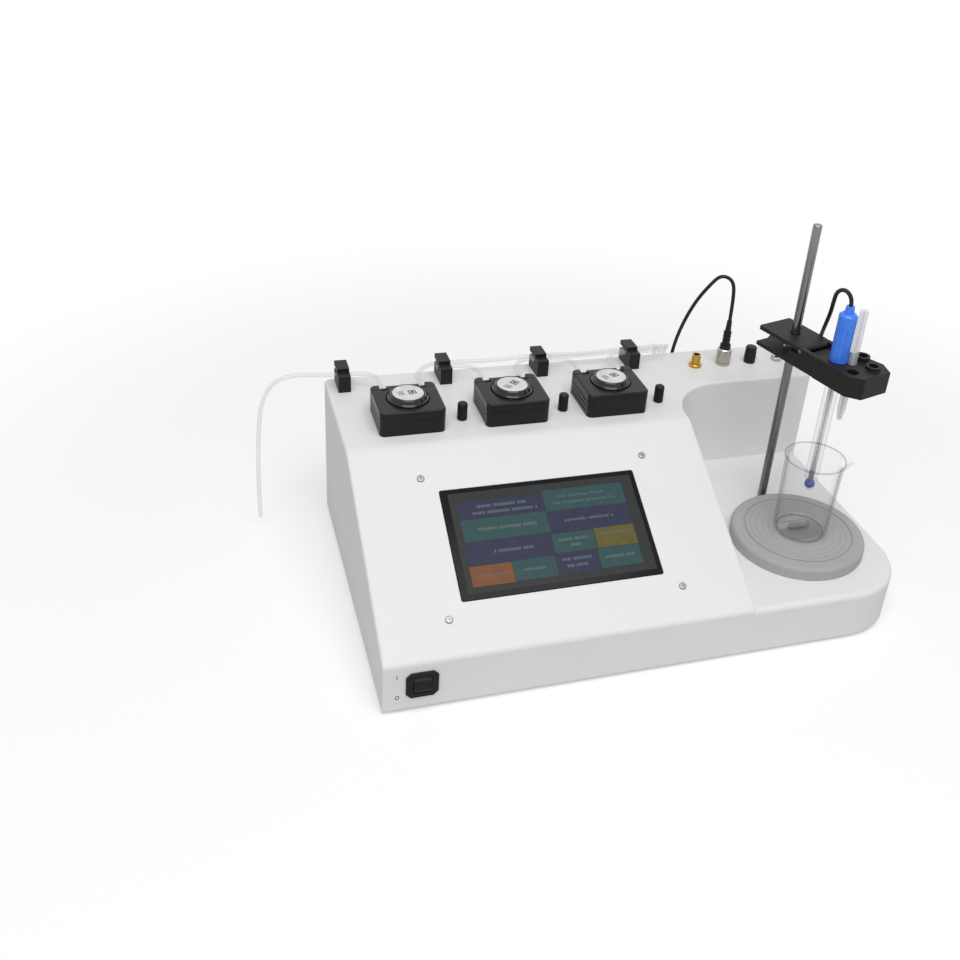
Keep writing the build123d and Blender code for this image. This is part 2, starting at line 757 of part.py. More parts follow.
def pump_roller(axis_place):
    """Roller with its bore and rounded ends."""
    roller_bottom = (race_floor + 0.4 + lower_disc_height + cover_bottom - roller_length) / 2
    with BuildPart() as roller:
        with Locations((*axis_place, shelf_z + roller_bottom)):
            Cylinder(roller_radius, roller_length, align=bottom_up)
            fillet(roller.edges().filter_by(GeomType.CIRCLE), 0.6)
            Cylinder(axle_radius + running_gap, roller_length, align=bottom_up, mode=Mode.SUBTRACT)
    return roller.part


for number, place in enumerate(pump_places, start=1):
    save(pump_body(place), f"pump_{number}_body")
    save(pump_cover(place), f"pump_{number}_cover")
    save(pump_rotor(place), f"pump_{number}_rotor")
    for letter, axle in zip("ab", roller_places(place)):
        save(pump_roller(axle), f"pump_{number}_roller_{letter}")

with BuildPart() as pump_motors:
    with Locations(*[(*at(x, y), shelf_z - housing_wall - 0.5) for x, y in pump_places]):
        Cylinder(motor_radius, motor_length, align=top_down)
        Cylinder(spindle_radius + running_gap, spindle_drop, align=top_down, mode=Mode.SUBTRACT)
save(pump_motors.part, "pump_motors")

# ====================================================================================================
# Tube combs and trim knobs
# ====================================================================================================
slot_bottom = tube_level - comb_slot / 2
with BuildPart() as tube_combs:
    for number in range(comb_count):
        comb_left = comb_x - comb_width / 2 + number * pump_pitch
        with BuildSketch(Plane(origin=frame_of(comb_left, comb_front, shelf_z), x_dir=(0, 1, 0),
                               z_dir=(1, 0, 0))):
            with BuildLine():
                Polyline((0, 0), (0, comb_step_height), (comb_step_depth, comb_step_height),
                         (comb_step_depth, comb_height), (comb_depth, comb_height),
                         (comb_depth, slot_bottom + comb_slot),
                         (comb_depth - comb_slot_depth, slot_bottom + comb_slot),
                         (comb_depth - comb_slot_depth, slot_bottom), (comb_depth, slot_bottom),
                         (comb_depth, 0), close=True)
            make_face()
        extrude(amount=comb_width)
    fillet(tube_combs.edges().filter_by(Axis.X).filter_by(
        lambda edge: edge.center().Z > shelf_z + comb_step_height - 1
        and edge.center().Y < front + comb_front + 1), 0.8)
save(tube_combs.part, "tube_combs")

for number, place in enumerate(knob_places, start=1):
    x, y = at(*place)
    with BuildPart() as trim_knob:
        with Locations((x, y, shelf_z + knob_lift)):
            Cylinder(knob_radius, knob_height - knob_lift, align=bottom_up)
            fillet(trim_knob.edges().sort_by(Axis.Z)[-1], knob_dome)
            with PolarLocations(knob_radius, knob_flutes):
                Cylinder(knob_flute_radius, knob_height - knob_lift - knob_dome, align=bottom_up,
                         mode=Mode.SUBTRACT)
        with Locations((x, y, shelf_z + knob_lift)):
            Cylinder(knob_shaft_radius, knob_shaft_length, align=top_down)
    save(trim_knob.part, f"trim_knob_{number}")

with BuildPart() as trim_controls:
    with Locations(*[(*at(x, y), shelf_z) for x, y in knob_places]):
        Cylinder(knob_bush_radius - running_gap, housing_wall + 1, align=top_down)
    with Locations(*[(*at(x, y), shelf_z - housing_wall - 0.1) for x, y in knob_places]):
        Box(16, 16, 10, align=top_down)
    with Locations(*[(*at(x, y), shelf_z) for x, y in knob_places]):
        Cylinder(knob_shaft_radius + running_gap, knob_shaft_length + 1, align=top_down, mode=Mode.SUBTRACT)
save(trim_controls.part, "trim_controls")

# ====================================================================================================
# Sockets on the shelf
# ====================================================================================================
socket_reach = housing_wall + socket_drop

with BuildPart() as signal_socket:
    with Locations((*at(signal_x, socket_y), shelf_z)):
        Cylinder(signal_flange_radius, signal_flange_height, align=bottom_up)
        chamfer(signal_socket.edges().sort_by(Axis.Z)[-1], 0.6)
        Cylinder(signal_barrel_radius, signal_barrel_height, align=bottom_up)
        Cylinder(signal_barrel_radius, socket_reach, align=top_down)
    with Locations(*[(*at(signal_x, socket_y), shelf_z + level) for level in signal_threads]):
        Cylinder(signal_barrel_radius + 0.35, 0.6, align=bottom_up)
    with Locations((*at(signal_x, socket_y), shelf_z)):
        Cylinder(signal_bore_radius, signal_barrel_height, align=bottom_up, mode=Mode.SUBTRACT)
        Cylinder(contact_radius, signal_barrel_height - 4, align=bottom_up)
save(signal_socket.part, "signal_socket")

with BuildPart() as bnc_socket:
    with Locations((*at(bnc_x, socket_y), shelf_z)):
        Cylinder(bnc_flange_radius, bnc_flange_height, align=bottom_up)
        Cylinder(bnc_barrel_radius, bnc_barrel_height, align=bottom_up)
        Cylinder(bnc_barrel_radius, socket_reach, align=top_down)
        Cylinder(contact_bore_radius, bnc_barrel_height, align=bottom_up, mode=Mode.SUBTRACT)
    with Locations(Location((*at(bnc_x, socket_y), shelf_z + lug_level), (0, 90, 0))):
        Cylinder(lug_radius, 2 * (bnc_barrel_radius + lug_reach))
        Cylinder(contact_bore_radius + 1, 2 * contact_bore_radius, mode=Mode.SUBTRACT)
save(bnc_socket.part, "bnc_socket")

with BuildPart() as ground_post:
    with Locations((*at(ground_x, socket_y), shelf_z)):
        Cylinder(ground_base_radius, ground_base_height, align=bottom_up)
        Cylinder(ground_stud_radius, ground_stud_height, align=bottom_up)
        Cylinder(ground_stud_radius, socket_reach, align=top_down)
save(ground_post.part, "ground_post")

with BuildPart() as ground_nut:
    with Locations((*at(ground_x, socket_y), shelf_z + ground_base_height)):
        Cone(ground_nut_radius, ground_nut_radius - 0.5, ground_nut_height, align=bottom_up)
        fillet(ground_nut.edges().sort_by(Axis.Z)[-1], 1.6)
        with PolarLocations(ground_nut_radius + 0.2, ground_flutes):
            Cylinder(0.6, ground_nut_height - 3, align=bottom_up, mode=Mode.SUBTRACT)
        Cylinder(ground_stud_radius + running_gap, ground_stud_height - ground_base_height + 0.5,
                 align=bottom_up, mode=Mode.SUBTRACT)
save(ground_nut.part, "ground_nut")

with BuildPart() as temperature_socket:
    with Locations((*at(sensor_x, socket_y), shelf_z)):
        Cylinder(sensor_flange_radius, sensor_flange_height, align=bottom_up)
        fillet(temperature_socket.edges().sort_by(Axis.Z)[-1], 0.6)
        Cylinder(sensor_barrel_radius, socket_reach, align=top_down)
        Cylinder(sensor_bore_radius, sensor_flange_height, align=bottom_up, mode=Mode.SUBTRACT)
        Cylinder(sensor_bore_radius, socket_drop, align=top_down, mode=Mode.SUBTRACT)
save(temperature_socket.part, "temperature_socket")

# ====================================================================================================
# Connectors in the back wall
# ====================================================================================================
inlet_plane = Plane(origin=(left + inlet_x, back, base + inlet_z), x_dir=(-1, 0, 0), z_dir=(0, 1, 0))
data_plane = Plane(origin=(left + data_x, back, base + data_z), x_dir=(-1, 0, 0), z_dir=(0, 1, 0))

with BuildPart() as power_inlet:
    with BuildSketch(inlet_plane):
        RectangleRounded(inlet_width, inlet_height, 3)
    extrude(amount=inlet_flange)
    with BuildSketch(inlet_plane):
        Rectangle(inlet_opening_width + 2 * inlet_flange, inlet_opening_height + 2 * inlet_flange)
    extrude(amount=-inlet_depth)
    with BuildSketch(inlet_plane.offset(inlet_flange)):
        Rectangle(inlet_opening_width, inlet_opening_height)
    extrude(amount=-inlet_depth, mode=Mode.SUBTRACT)
    with BuildSketch(inlet_plane.offset(inlet_flange - inlet_depth)):
        for pin_x, pin_z in inlet_pins:
            with Locations((pin_x, pin_z)):
                Rectangle(2, 4)
    extrude(amount=inlet_depth - 6)
    with BuildSketch(inlet_plane.offset(inlet_flange)):
        with GridLocations(inlet_screw_pitch, 0, 2, 1):
            Circle(2.6)
    extrude(amount=0.8)
save(power_inlet.part, "power_inlet")

with BuildPart() as data_port:
    with BuildSketch(data_plane):
        Rectangle(data_width, data_height)
    extrude(amount=-data_depth)
    with BuildSketch(data_plane):
        Rectangle(data_width - 2 * data_wall, data_height - 2 * data_wall)
    extrude(amount=-data_depth + data_wall, mode=Mode.SUBTRACT)
    with BuildSketch(data_plane.offset(data_wall - data_depth)):
        Rectangle(5.6, 3.2)
    extrude(amount=data_depth - 5)
save(data_port.part, "data_port")

# ====================================================================================================
# Stirrer
# ====================================================================================================
plate_top = apron_height + stir_height

with BuildPart() as stir_plate:
    with Locations((*at(stir_x, stir_y), deck_z)):
        Cylinder(stir_radius, stir_height, align=bottom_up)
    fillet(stir_plate.edges().sort_by(Axis.Z)[-1], stir_edge)
    with BuildSketch(Plane(origin=(*at(stir_x, stir_y), deck_z + stir_height))):
        for ring in stir_rings:
            Circle(ring + ring_width)
            Circle(ring, mode=Mode.SUBTRACT)
    extrude(amount=-ring_depth, mode=Mode.SUBTRACT)
save(stir_plate.part, "stir_plate")

with BuildPart() as stir_motor:
    with Locations((*at(stir_x, stir_y), post_foot)):
        Cylinder(stir_motor_radius, stir_motor_height, align=bottom_up)
        Cylinder(stir_shaft_radius, magnet_level + magnet_height - plate_thickness - 1, align=bottom_up)
save(stir_motor.part, "stir_motor")

with BuildPart() as stir_magnet:
    with BuildSketch(Plane(origin=(*at(stir_x, stir_y), base + magnet_level))):
        SlotOverall(magnet_length, magnet_width)
        Circle(stir_shaft_radius + running_gap, mode=Mode.SUBTRACT)
    extrude(amount=magnet_height)
save(stir_magnet.part, "stir_magnet")

# ====================================================================================================
# Beaker and stir bar
# ====================================================================================================
beaker_foot = base + plate_top
beaker_centre = at(stir_x + beaker_offset, stir_y)
beaker_axis = Plane(origin=(*beaker_centre, beaker_foot), x_dir=(1, 0, 0), z_dir=(0, -1, 0))
spout_turn = Plane(origin=(*beaker_centre, beaker_foot),
                   x_dir=(cos(radians(spout_angle)), sin(radians(spout_angle)), 0), z_dir=(0, 0, 1))


def beaker_solid(inset):
    """The beaker's block with its spout, drawn in by inset on the outside."""
    radius = beaker_radius - inset
    corner = beaker_corner - inset
    with BuildPart() as form:
        with BuildSketch(beaker_axis):
            with BuildLine():
                Line((0, inset), (radius - corner, inset))
                RadiusArc((radius - corner, inset), (radius, inset + corner), -corner)
                Polyline((radius, inset + corner), (radius + beaker_flare, beaker_height), (0, beaker_height),
                         (0, inset))
            make_face()
        revolve(axis=Axis((*beaker_centre, 0), (0, 0, 1)))
        with BuildSketch(spout_turn.offset(beaker_height - spout_drop)):
            with Locations((radius - spout_half_width - spout_root, 0)):
                Circle(spout_half_width - inset)
        with BuildSketch(spout_turn.offset(beaker_height)):
            with Locations((spout_reach - spout_half_width + inset / 2, 0)):
                Circle(spout_half_width - 1.5 * inset)
        loft()
    return form.part


with BuildPart() as beaker:
    add(beaker_solid(0))
    with BuildSketch(Plane(origin=(*beaker_centre, beaker_foot + beaker_height))):
        Circle(beaker_rim_radius)
    extrude(amount=-rim_bead)
    add(beaker_solid(beaker_wall), mode=Mode.SUBTRACT)
save(beaker.part, "beaker")

with BuildPart() as stir_bar:
    with Locations(Location((*at(stir_x, stir_y), beaker_foot + beaker_wall + bar_radius), (0, 90, 0))):
        Cylinder(bar_radius - bar_ring, bar_length)
        fillet(stir_bar.edges().filter_by(GeomType.CIRCLE), bar_radius - bar_ring - 0.6)
        Cylinder(bar_radius, bar_ring_width)
save(stir_bar.part, "stir_bar")

# ====================================================================================================
# Stand rod and electrode holder
# ====================================================================================================
arm_x = (cos(radians(arm_angle)), sin(radians(arm_angle)), 0)
arm_y = (-sin(radians(arm_angle)), cos(radians(arm_angle)), 0)
holder_plane = Plane(origin=(*at(rod_x, rod_y), base + holder_bottom), x_dir=arm_x, z_dir=(0, 0, 1))
arm_side = Plane(origin=holder_plane.origin, x_dir=arm_x, z_dir=tuple(-part for part in arm_y))
leaf_top = holder_height - leaf_drop
leaf_bottom = leaf_top - leaf_thickness
pivot_height = holder_height - pivot_drop
tongue_half = clip_half - cheek_thickness - fit_gap


def arm_place(along, across, height):
    """Point in the model's frame, from its place along and across the arm and above the holder."""
    return holder_plane.from_local_coords(Vector(along, across, height))


with BuildPart() as stand_rod:
    with Locations((*at(rod_x, rod_y), base + rod_top)):
        Cylinder(rod_radius, rod_length, align=top_down)
    chamfer(stand_rod.edges().sort_by(Axis.Z)[-1], 0.6)
save(stand_rod.part, "stand_rod")

with BuildPart() as holder_body:
    with BuildSketch(holder_plane):
        with Locations(((clip_back + head_points[0][0]) / 2, 0)):
            Rectangle(head_points[0][0] - clip_back, 2 * clip_half)
    extrude(amount=leaf_thickness)
    # cheeks that carry the pin, and the saddle between them
    with BuildSketch(arm_side.offset(-clip_half)):
        with BuildLine():
            Polyline((cheek_start, 0), (cheek_start, leaf_thickness), (cheek_start + 6, cheek_height),
                     (clip_front + leaf_gap, cheek_height), (clip_front + leaf_gap, leaf_top),
                     (head_points[0][0] + 1, leaf_top), (head_points[0][0] + 1, 0), close=True)
        make_face()
    extrude(amount=2 * clip_half)
    with BuildSketch(holder_plane.offset(leaf_thickness)):
        with Locations(((clip_back + saddle_x) / 2, 0)):
            Rectangle(saddle_x - clip_back, 2 * (clip_half - cheek_thickness))
    extrude(amount=holder_height, mode=Mode.SUBTRACT)
    with BuildSketch(holder_plane.offset(saddle_height)):
        with Locations(((saddle_x + head_points[0][0]) / 2, 0)):
            Rectangle(head_points[0][0] - saddle_x, 2 * (clip_half - cheek_thickness))
    extrude(amount=holder_height, mode=Mode.SUBTRACT)
    with BuildPart(mode=Mode.PRIVATE) as head:
        with BuildSketch(holder_plane):
            with BuildLine():
                Polyline(*head_points, close=True)
            make_face()
        extrude(amount=holder_height)
        fillet(head.edges().filter_by(Axis.Z), head_edge)
        chamfer(head.faces().sort_by(Axis.Z)[-1].edges(), head_edge / 2)
        for spare_x, spare_y, spare_radius, collar in spare_places:
            if collar:
                with BuildSketch(holder_plane.offset(holder_height)):
                    with Locations((spare_x, spare_y)):
                        Circle(spare_radius + spare_collar)
                extrude(amount=collar)
    add(head.part)
    # bores: rod, electrode, dosing tube, spares
    with BuildSketch(holder_plane):
        Circle(rod_radius + running_gap)
        with Locations(electrode_place):
            Circle(electrode_radius + grip_gap)
        with Locations(dosing_place):
            Circle(dosing_radius + grip_gap)
        for spare_x, spare_y, spare_radius, collar in spare_places:
            with Locations((spare_x, spare_y)):
                Circle(spare_radius)
    extrude(amount=2 * holder_height, mode=Mode.SUBTRACT)
    with BuildSketch(arm_side):
        with Locations((pivot_x, pivot_height)):
            Circle(pin_radius + running_gap)
    extrude(amount=clip_half, both=True, mode=Mode.SUBTRACT)
save(holder_body.part, "holder_body")

with BuildPart() as release_plate:
    with BuildSketch(holder_plane.offset(leaf_bottom)):
        with Locations(((clip_back + clip_front) / 2, 0)):
            RectangleRounded(clip_front - clip_back, 2 * clip_half, 1.5)
        Circle(rod_hole_radius, mode=Mode.SUBTRACT)
    extrude(amount=leaf_thickness)
    with BuildSketch(arm_side):
        with Locations((pivot_x, pivot_height)):
            Circle(barrel_radius)
        with Locations((clip_front - 2, leaf_bottom)):
            Rectangle(pivot_x - clip_front + 2, pivot_height + barrel_radius - leaf_bottom,
                      align=(Align.MIN, Align.MIN))
    extrude(amount=tongue_half, both=True)
    with BuildSketch(arm_side):
        with Locations((pivot_x, pivot_height)):
            Circle(pin_radius + running_gap)
    extrude(amount=tongue_half, both=True, mode=Mode.SUBTRACT)
save(release_plate.part, "release_plate")

with BuildPart() as clip_pin:
    with BuildSketch(arm_side):
        with Locations((pivot_x, pivot_height)):
            Circle(pin_radius)
    extrude(amount=clip_half, both=True)
save(clip_pin.part, "clip_pin")

spring_low = base + holder_bottom + leaf_thickness
spring_rise = leaf_bottom - leaf_thickness
with BuildPart() as clip_spring:
    with BuildLine() as coil:
        Helix((spring_rise - 2 * spring_wire) / spring_turns, spring_rise - 2 * spring_wire, spring_radius,
              center=(*at(rod_x, rod_y), spring_low + spring_wire))
    with BuildSketch(Plane(origin=coil.line @ 0, z_dir=coil.line % 0)):
        RegularPolygon(spring_wire, 6)
    sweep(path=coil.wire(), is_frenet=True)
save(clip_spring.part, "clip_spring")

with BuildPart() as electrode_shaft:
    with BuildSketch(Plane(origin=arm_place(*electrode_place, 0), x_dir=(1, 0, 0), z_dir=(0, -1, 0))):
        with BuildLine():
            tip = electrode_tip_z - holder_bottom
            neck = tip + 2 * electrode_bulb_radius
            Polyline((0, tip + electrode_bulb_radius), (0, holder_height), (electrode_radius, holder_height),
                     (electrode_radius, neck + 3), (electrode_radius - 2.5, neck),
                     (electrode_bulb_radius, tip + electrode_bulb_radius))
            ThreePointArc((electrode_bulb_radius, tip + electrode_bulb_radius),
                          (electrode_bulb_radius * cos(radians(45)),
                           tip + electrode_bulb_radius * (1 - sin(radians(45)))), (0, tip))
            Line((0, tip), (0, tip + electrode_bulb_radius))
        make_face()
    revolve(axis=Axis(tuple(arm_place(*electrode_place, 0)), (0, 0, 1)))
save(electrode_shaft.part, "electrode_shaft")

with BuildPart() as electrode_cap:
    with Locations(tuple(arm_place(*electrode_place, holder_height))):
        Cylinder(cap_body_radius, cap_body_height, align=bottom_up)
        chamfer(electrode_cap.edges().sort_by(Axis.Z)[-1], cap_shoulder)
    with Locations(tuple(arm_place(*electrode_place, holder_height + cap_body_height))):
        Cone(cap_neck_radius, cap_neck_radius - 0.6, cap_neck_height, align=bottom_up)
    with BuildSketch(Plane(origin=arm_place(*electrode_place, holder_height))):
        with PolarLocations(cap_body_radius + 0.4, cap_flutes):
            Circle(0.9)
    extrude(amount=cap_body_height * 0.7, mode=Mode.SUBTRACT)
save(electrode_cap.part, "electrode_cap")

with BuildPart() as dosing_tube:
    with Locations(tuple(arm_place(*dosing_place, dosing_bottom + dosing_taper - holder_bottom))):
        Cylinder(dosing_radius, dosing_top - dosing_bottom - dosing_taper, align=bottom_up)
        Cone(dosing_bore + 0.8, dosing_radius, dosing_taper, align=top_down)
    with Locations(tuple(arm_place(*dosing_place, dosing_bottom - holder_bottom))):
        Cylinder(dosing_bore, dosing_top - dosing_bottom, align=bottom_up, mode=Mode.SUBTRACT)
save(dosing_tube.part, "dosing_tube")

# ====================================================================================================
# Plug of the electrode lead
# ====================================================================================================
with BuildPart() as bnc_plug:
    with Locations((*at(bnc_x, socket_y), shelf_z + bnc_barrel_height)):
        Cylinder(plug_radius, plug_top - bnc_barrel_height, align=bottom_up)
        Cylinder(contact_radius, contact_reach, align=top_down)
    with Locations((*at(bnc_x, socket_y), shelf_z + plug_top)):
        Cone(boot_radius, boot_tip_radius, boot_length, align=bottom_up)
        for rib in range(boot_ribs):
            with Locations((0, 0, rib * boot_rib_pitch)):
                Cylinder(boot_radius + 0.4, boot_rib_pitch / 2, align=bottom_up)
save(bnc_plug.part, "bnc_plug")

with BuildPart() as bnc_nut:
    with Locations((*at(bnc_x, socket_y), shelf_z + nut_bottom)):
        Cylinder(nut_radius, nut_height, align=bottom_up)
        chamfer(bnc_nut.edges().sort_by(Axis.Z)[-1], 1.0)
        with PolarLocations(nut_radius + 0.3, nut_flutes):
            Cylinder(0.6, nut_height - 4, align=bottom_up, mode=Mode.SUBTRACT)
        Cylinder(plug_radius + running_gap, nut_height, align=bottom_up, mode=Mode.SUBTRACT)
        Cylinder(bnc_barrel_radius + lug_reach + fit_gap, bnc_barrel_height - nut_bottom, align=bottom_up,
                 mode=Mode.SUBTRACT)
save(bnc_nut.part, "bnc_nut")

# ====================================================================================================
# Electrode lead and pump tubes
# ====================================================================================================
def bend_radii(points):
    """Largest even bends: each takes up to 0.45 of the shorter run beside it."""
    radii = []
    for before, corner, after in zip(points, points[1:], points[2:]):
        arriving = Vector(*corner) - Vector(*before)
        leaving = Vector(*after) - Vector(*corner)
        half_turn = radians(arriving.get_angle(leaving)) / 2
        radii.append(0.45 * min(arriving.length, leaving.length) / tan(half_turn))
    return radii


def cord(name, route, radius, fixed_bends=None):
    """Round cord along a route measured from the housing's front left bottom corner."""
    points = [(left + x, front + y, base + z) for x, y, z in route]
    radii = bend_radii(points)
    for corner, bend in (fixed_bends or {}).items():
        radii[corner - 1] = bend
    with BuildPart() as run:
        with BuildLine() as path:
            FilletPolyline(*points, radius=radii)
        wire = path.wire()
        with BuildSketch(Plane(origin=wire @ 0, z_dir=wire % 0)):
            Circle(radius)
        sweep(path=wire)
    print(name, "length", round(wire.length), "tightest bend", round(min(radii), 1),
          "volume ratio", round(run.part.volume / (pi * radius ** 2 * wire.length), 3))
    save(run.part, name)


def route_place(point):
    """Point of the model's frame, measured from the housing's front left bottom corner."""
    return (point.X - left, point.Y - front, point.Z - base)


cap_top = route_place(arm_place(*electrode_place, holder_height + cap_body_height + cap_neck_height))
boot_top = (bnc_x, socket_y, housing_height + plug_top + boot_length)
leaving_cap = [cap_top, (cap_top[0], cap_top[1], cap_top[2] + lead_rise)]
reaching_boot = [boot_top]
way_back = housing_depth - rod_y
upper_route = [(rod_x + x, rod_y + y, z) for x, y, z in upper_points]
lower_route = [(rod_x + x, rod_y + share * way_back, z) for x, share, z in lower_points]
cord("electrode_cable_upper", leaving_cap + upper_route, lead_radius)
cord("electrode_cable_lower", lower_route + reaching_boot, lead_radius)

tube_z = housing_height + tube_level
race_back = pump_front + pump_depth
race_front = pump_front + rotor_setback - tube_centre_radius
for number in range(pump_count):
    middle = pump_x + number * pump_pitch
    lane = tube_lane - number * tube_spacing
    inlet_comb = comb_x + number * pump_pitch
    combs_ahead = [comb_x + i * pump_pitch for i in range(number + 1, comb_count)]
    if number:
        tube_route = [(inlet_comb - tube_stub, inlet_lane, tube_z)]
    else:
        tube_route = [(x, housing_depth + behind, height) for x, behind, height in left_tail]
    tube_route += [(middle - out, race_back + behind, tube_z) for out, behind in inlet_bends]
    tube_route += [(middle - tube_centre_radius, race_back - 1, tube_z)]
    race_corner = len(tube_route)
    tube_route += [(middle - tube_centre_radius, race_front, tube_z),
                   (middle + tube_centre_radius, race_front, tube_z),
                   (middle + tube_centre_radius, race_back - 1, tube_z)]
    tube_route += [(middle + out, race_back + behind, tube_z) for out, behind in outlet_bends]
    for comb in combs_ahead:
        tube_route += [(comb - tube_straight, lane, tube_z), (comb + tube_straight, lane, tube_z)]
        if comb != combs_ahead[-1]:
            tube_route += [(comb + pump_pitch / 2, lane, tube_z - tube_sag)]
    drop_x = tube_drop_x + number * tube_drop_pitch
    tube_route += [(drop_x + over, max(housing_depth + behind, lane), height)
                   for over, behind, height in tube_drop]
    race_bends = {race_corner: tube_centre_radius - 0.1, race_corner + 1: tube_centre_radius - 0.1}
    cord(f"pump_{number + 1}_tube", tube_route, tube_radius, race_bends)

# ====================================================================================================
# Inner parts
# ====================================================================================================
with BuildPart() as control_board:
    with Locations((*at(board_x, board_y), post_foot + board_lift)):
        Box(board_width, board_depth, board_thickness, align=bottom_up)
        with Locations((-board_width / 4, 0, board_thickness), (board_width / 4, 10, board_thickness)):
            Box(22, 22, 2.5, align=bottom_up)
        with GridLocations(board_width / 4, board_depth - 20, 4, 2):
            with Locations((0, 0, board_thickness)):
                Box(20, 10, 9, align=bottom_up)
    with Locations((*at(board_x, board_y), post_foot)):
        with GridLocations(board_width - 12, board_depth - 12, 2, 2):
            Cylinder(3, board_lift, align=bottom_up)
save(control_board.part, "control_board")

with BuildPart() as power_supply:
    with Locations((*at(supply_x, supply_y), post_foot)):
        Box(supply_width, supply_depth, supply_height, align=bottom_up)
        fillet(power_supply.edges().filter_by(Axis.Z), 2)
        with GridLocations(10, 0, 9, 1):
            with Locations((0, 0, supply_height - 1)):
                Box(3, supply_depth - 20, 1, align=bottom_up, mode=Mode.SUBTRACT)
save(power_supply.part, "power_supply")
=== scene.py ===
"""Looks of the automatic titrator: camera, light, materials and the pieces drawn over the frame.
Metres, +Z up. Places named x, y, z are millimetres from the housing's front left bottom corner."""
import math

import bmesh
import bpy
from mathutils import Matrix, Vector


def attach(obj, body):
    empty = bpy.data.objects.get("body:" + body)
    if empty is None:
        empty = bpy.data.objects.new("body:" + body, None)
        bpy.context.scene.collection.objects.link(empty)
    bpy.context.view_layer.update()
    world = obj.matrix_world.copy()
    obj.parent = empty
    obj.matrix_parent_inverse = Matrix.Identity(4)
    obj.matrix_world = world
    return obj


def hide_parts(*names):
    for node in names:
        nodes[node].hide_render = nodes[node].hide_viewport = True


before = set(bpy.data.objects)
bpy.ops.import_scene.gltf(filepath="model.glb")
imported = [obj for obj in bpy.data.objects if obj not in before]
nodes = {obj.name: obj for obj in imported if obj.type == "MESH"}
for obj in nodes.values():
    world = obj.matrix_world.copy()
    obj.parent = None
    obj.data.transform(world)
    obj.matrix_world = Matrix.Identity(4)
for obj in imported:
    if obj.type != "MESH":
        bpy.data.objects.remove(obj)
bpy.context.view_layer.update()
scene = bpy.context.scene
scene.view_settings.view_transform = "Standard"

# --- Places ---------------------------------------------------------------------------------
CORNER = Vector((-238.5, -149.0, 3.0))
SHELF = 136.0
APRON = 45.0
SLOPE_REACH = 168.0
SLOPE = math.atan2(SHELF - APRON, SLOPE_REACH)
FIRST_PUMP = 61.0
FIRST_COMB = 15.1
PUMP_PITCH = 95.0
ROTOR_Y = 209.5
STIR_CENTRE = (400, 85)
STIR_TOP = APRON + 12.0
ELECTRODE = (410.057, 96.967)
BEAKER = (401.5, 85.0)
BEAKER_HEIGHT = 78.0


def place(x, y, z):
    """A point in metres from its place in the housing."""
    return (Vector((x, y, z)) + CORNER) / 1000


def slope_matrix(x, along, lift=0.0):
    """Matrix of a drawing plane on the display panel; its Z is the panel's normal."""
    across = Vector((1, 0, 0))
    up = Vector((0, math.cos(SLOPE), math.sin(SLOPE)))
    normal = across.cross(up)
    origin = place(x, up.y * along, APRON + up.z * along) + normal * lift / 1000
    matrix = Matrix((across, up, normal)).transposed().to_4x4()
    matrix.translation = origin
    return matrix


# --- Camera -----------------------------------------------------------------------------------
PICTURE = 960
FOCAL = 1120.536
CENTRE = (538.840, 413.555)
view_right = Vector((0.951001, -0.299866, 0.075343))
view_down = Vector((-0.086713, -0.492576, -0.865939))
view_ahead = Vector((0.296778, 0.816976, -0.494443))
camera_data = bpy.data.cameras.new("camera")
camera = bpy.data.objects.new("camera", camera_data)
scene.collection.objects.link(camera)
pose = Matrix((view_right, -view_down, -view_ahead)).transposed().to_4x4()
pose.translation = place(-122.046, -631.880, 639.548)
camera.matrix_world = pose
camera_data.sensor_width = 36.0
camera_data.sensor_fit = "HORIZONTAL"
camera_data.lens = FOCAL / PICTURE * camera_data.sensor_width
camera_data.shift_x = (PICTURE / 2 - CENTRE[0]) / PICTURE
camera_data.shift_y = (CENTRE[1] - PICTURE / 2) / PICTURE
camera_data.clip_end = 50
scene.camera = camera


# --- Node materials -----------------------------------------------------------------------------
def new_material(name):
    material = bpy.data.materials.new(name)
    material.use_nodes = True
    tree = material.node_tree
    tree.nodes.clear()
    return material, tree


def link(tree, source, target):
    tree.links.new(source, target)


def arithmetic(tree, operation, *operands):
    """Output of a math node whose operands are numbers or other outputs."""
    node = tree.nodes.new("ShaderNodeMath")
    node.operation = operation
    for socket, operand in zip(node.inputs, operands):
        if isinstance(operand, bpy.types.NodeSocket):
            link(tree, operand, socket)
        else:
            socket.default_value = operand
    return node.outputs["Value"]


def spread_over(tree, value, low, high):
    """Output of a node that carries a value from 0..1 over to low..high."""
    node = tree.nodes.new("ShaderNodeMapRange")
    node.inputs["To Min"].default_value = low
    node.inputs["To Max"].default_value = high
    link(tree, value, node.inputs["Value"])
    return node.outputs["Result"]


def blend(tree, share, first, second):
    """Output of a mix of two shaders; the share is that of the second."""
    node = tree.nodes.new("ShaderNodeMixShader")
    link(tree, share, node.inputs["Fac"])
    link(tree, first, node.inputs[1])
    link(tree, second, node.inputs[2])
    return node.outputs["Shader"]


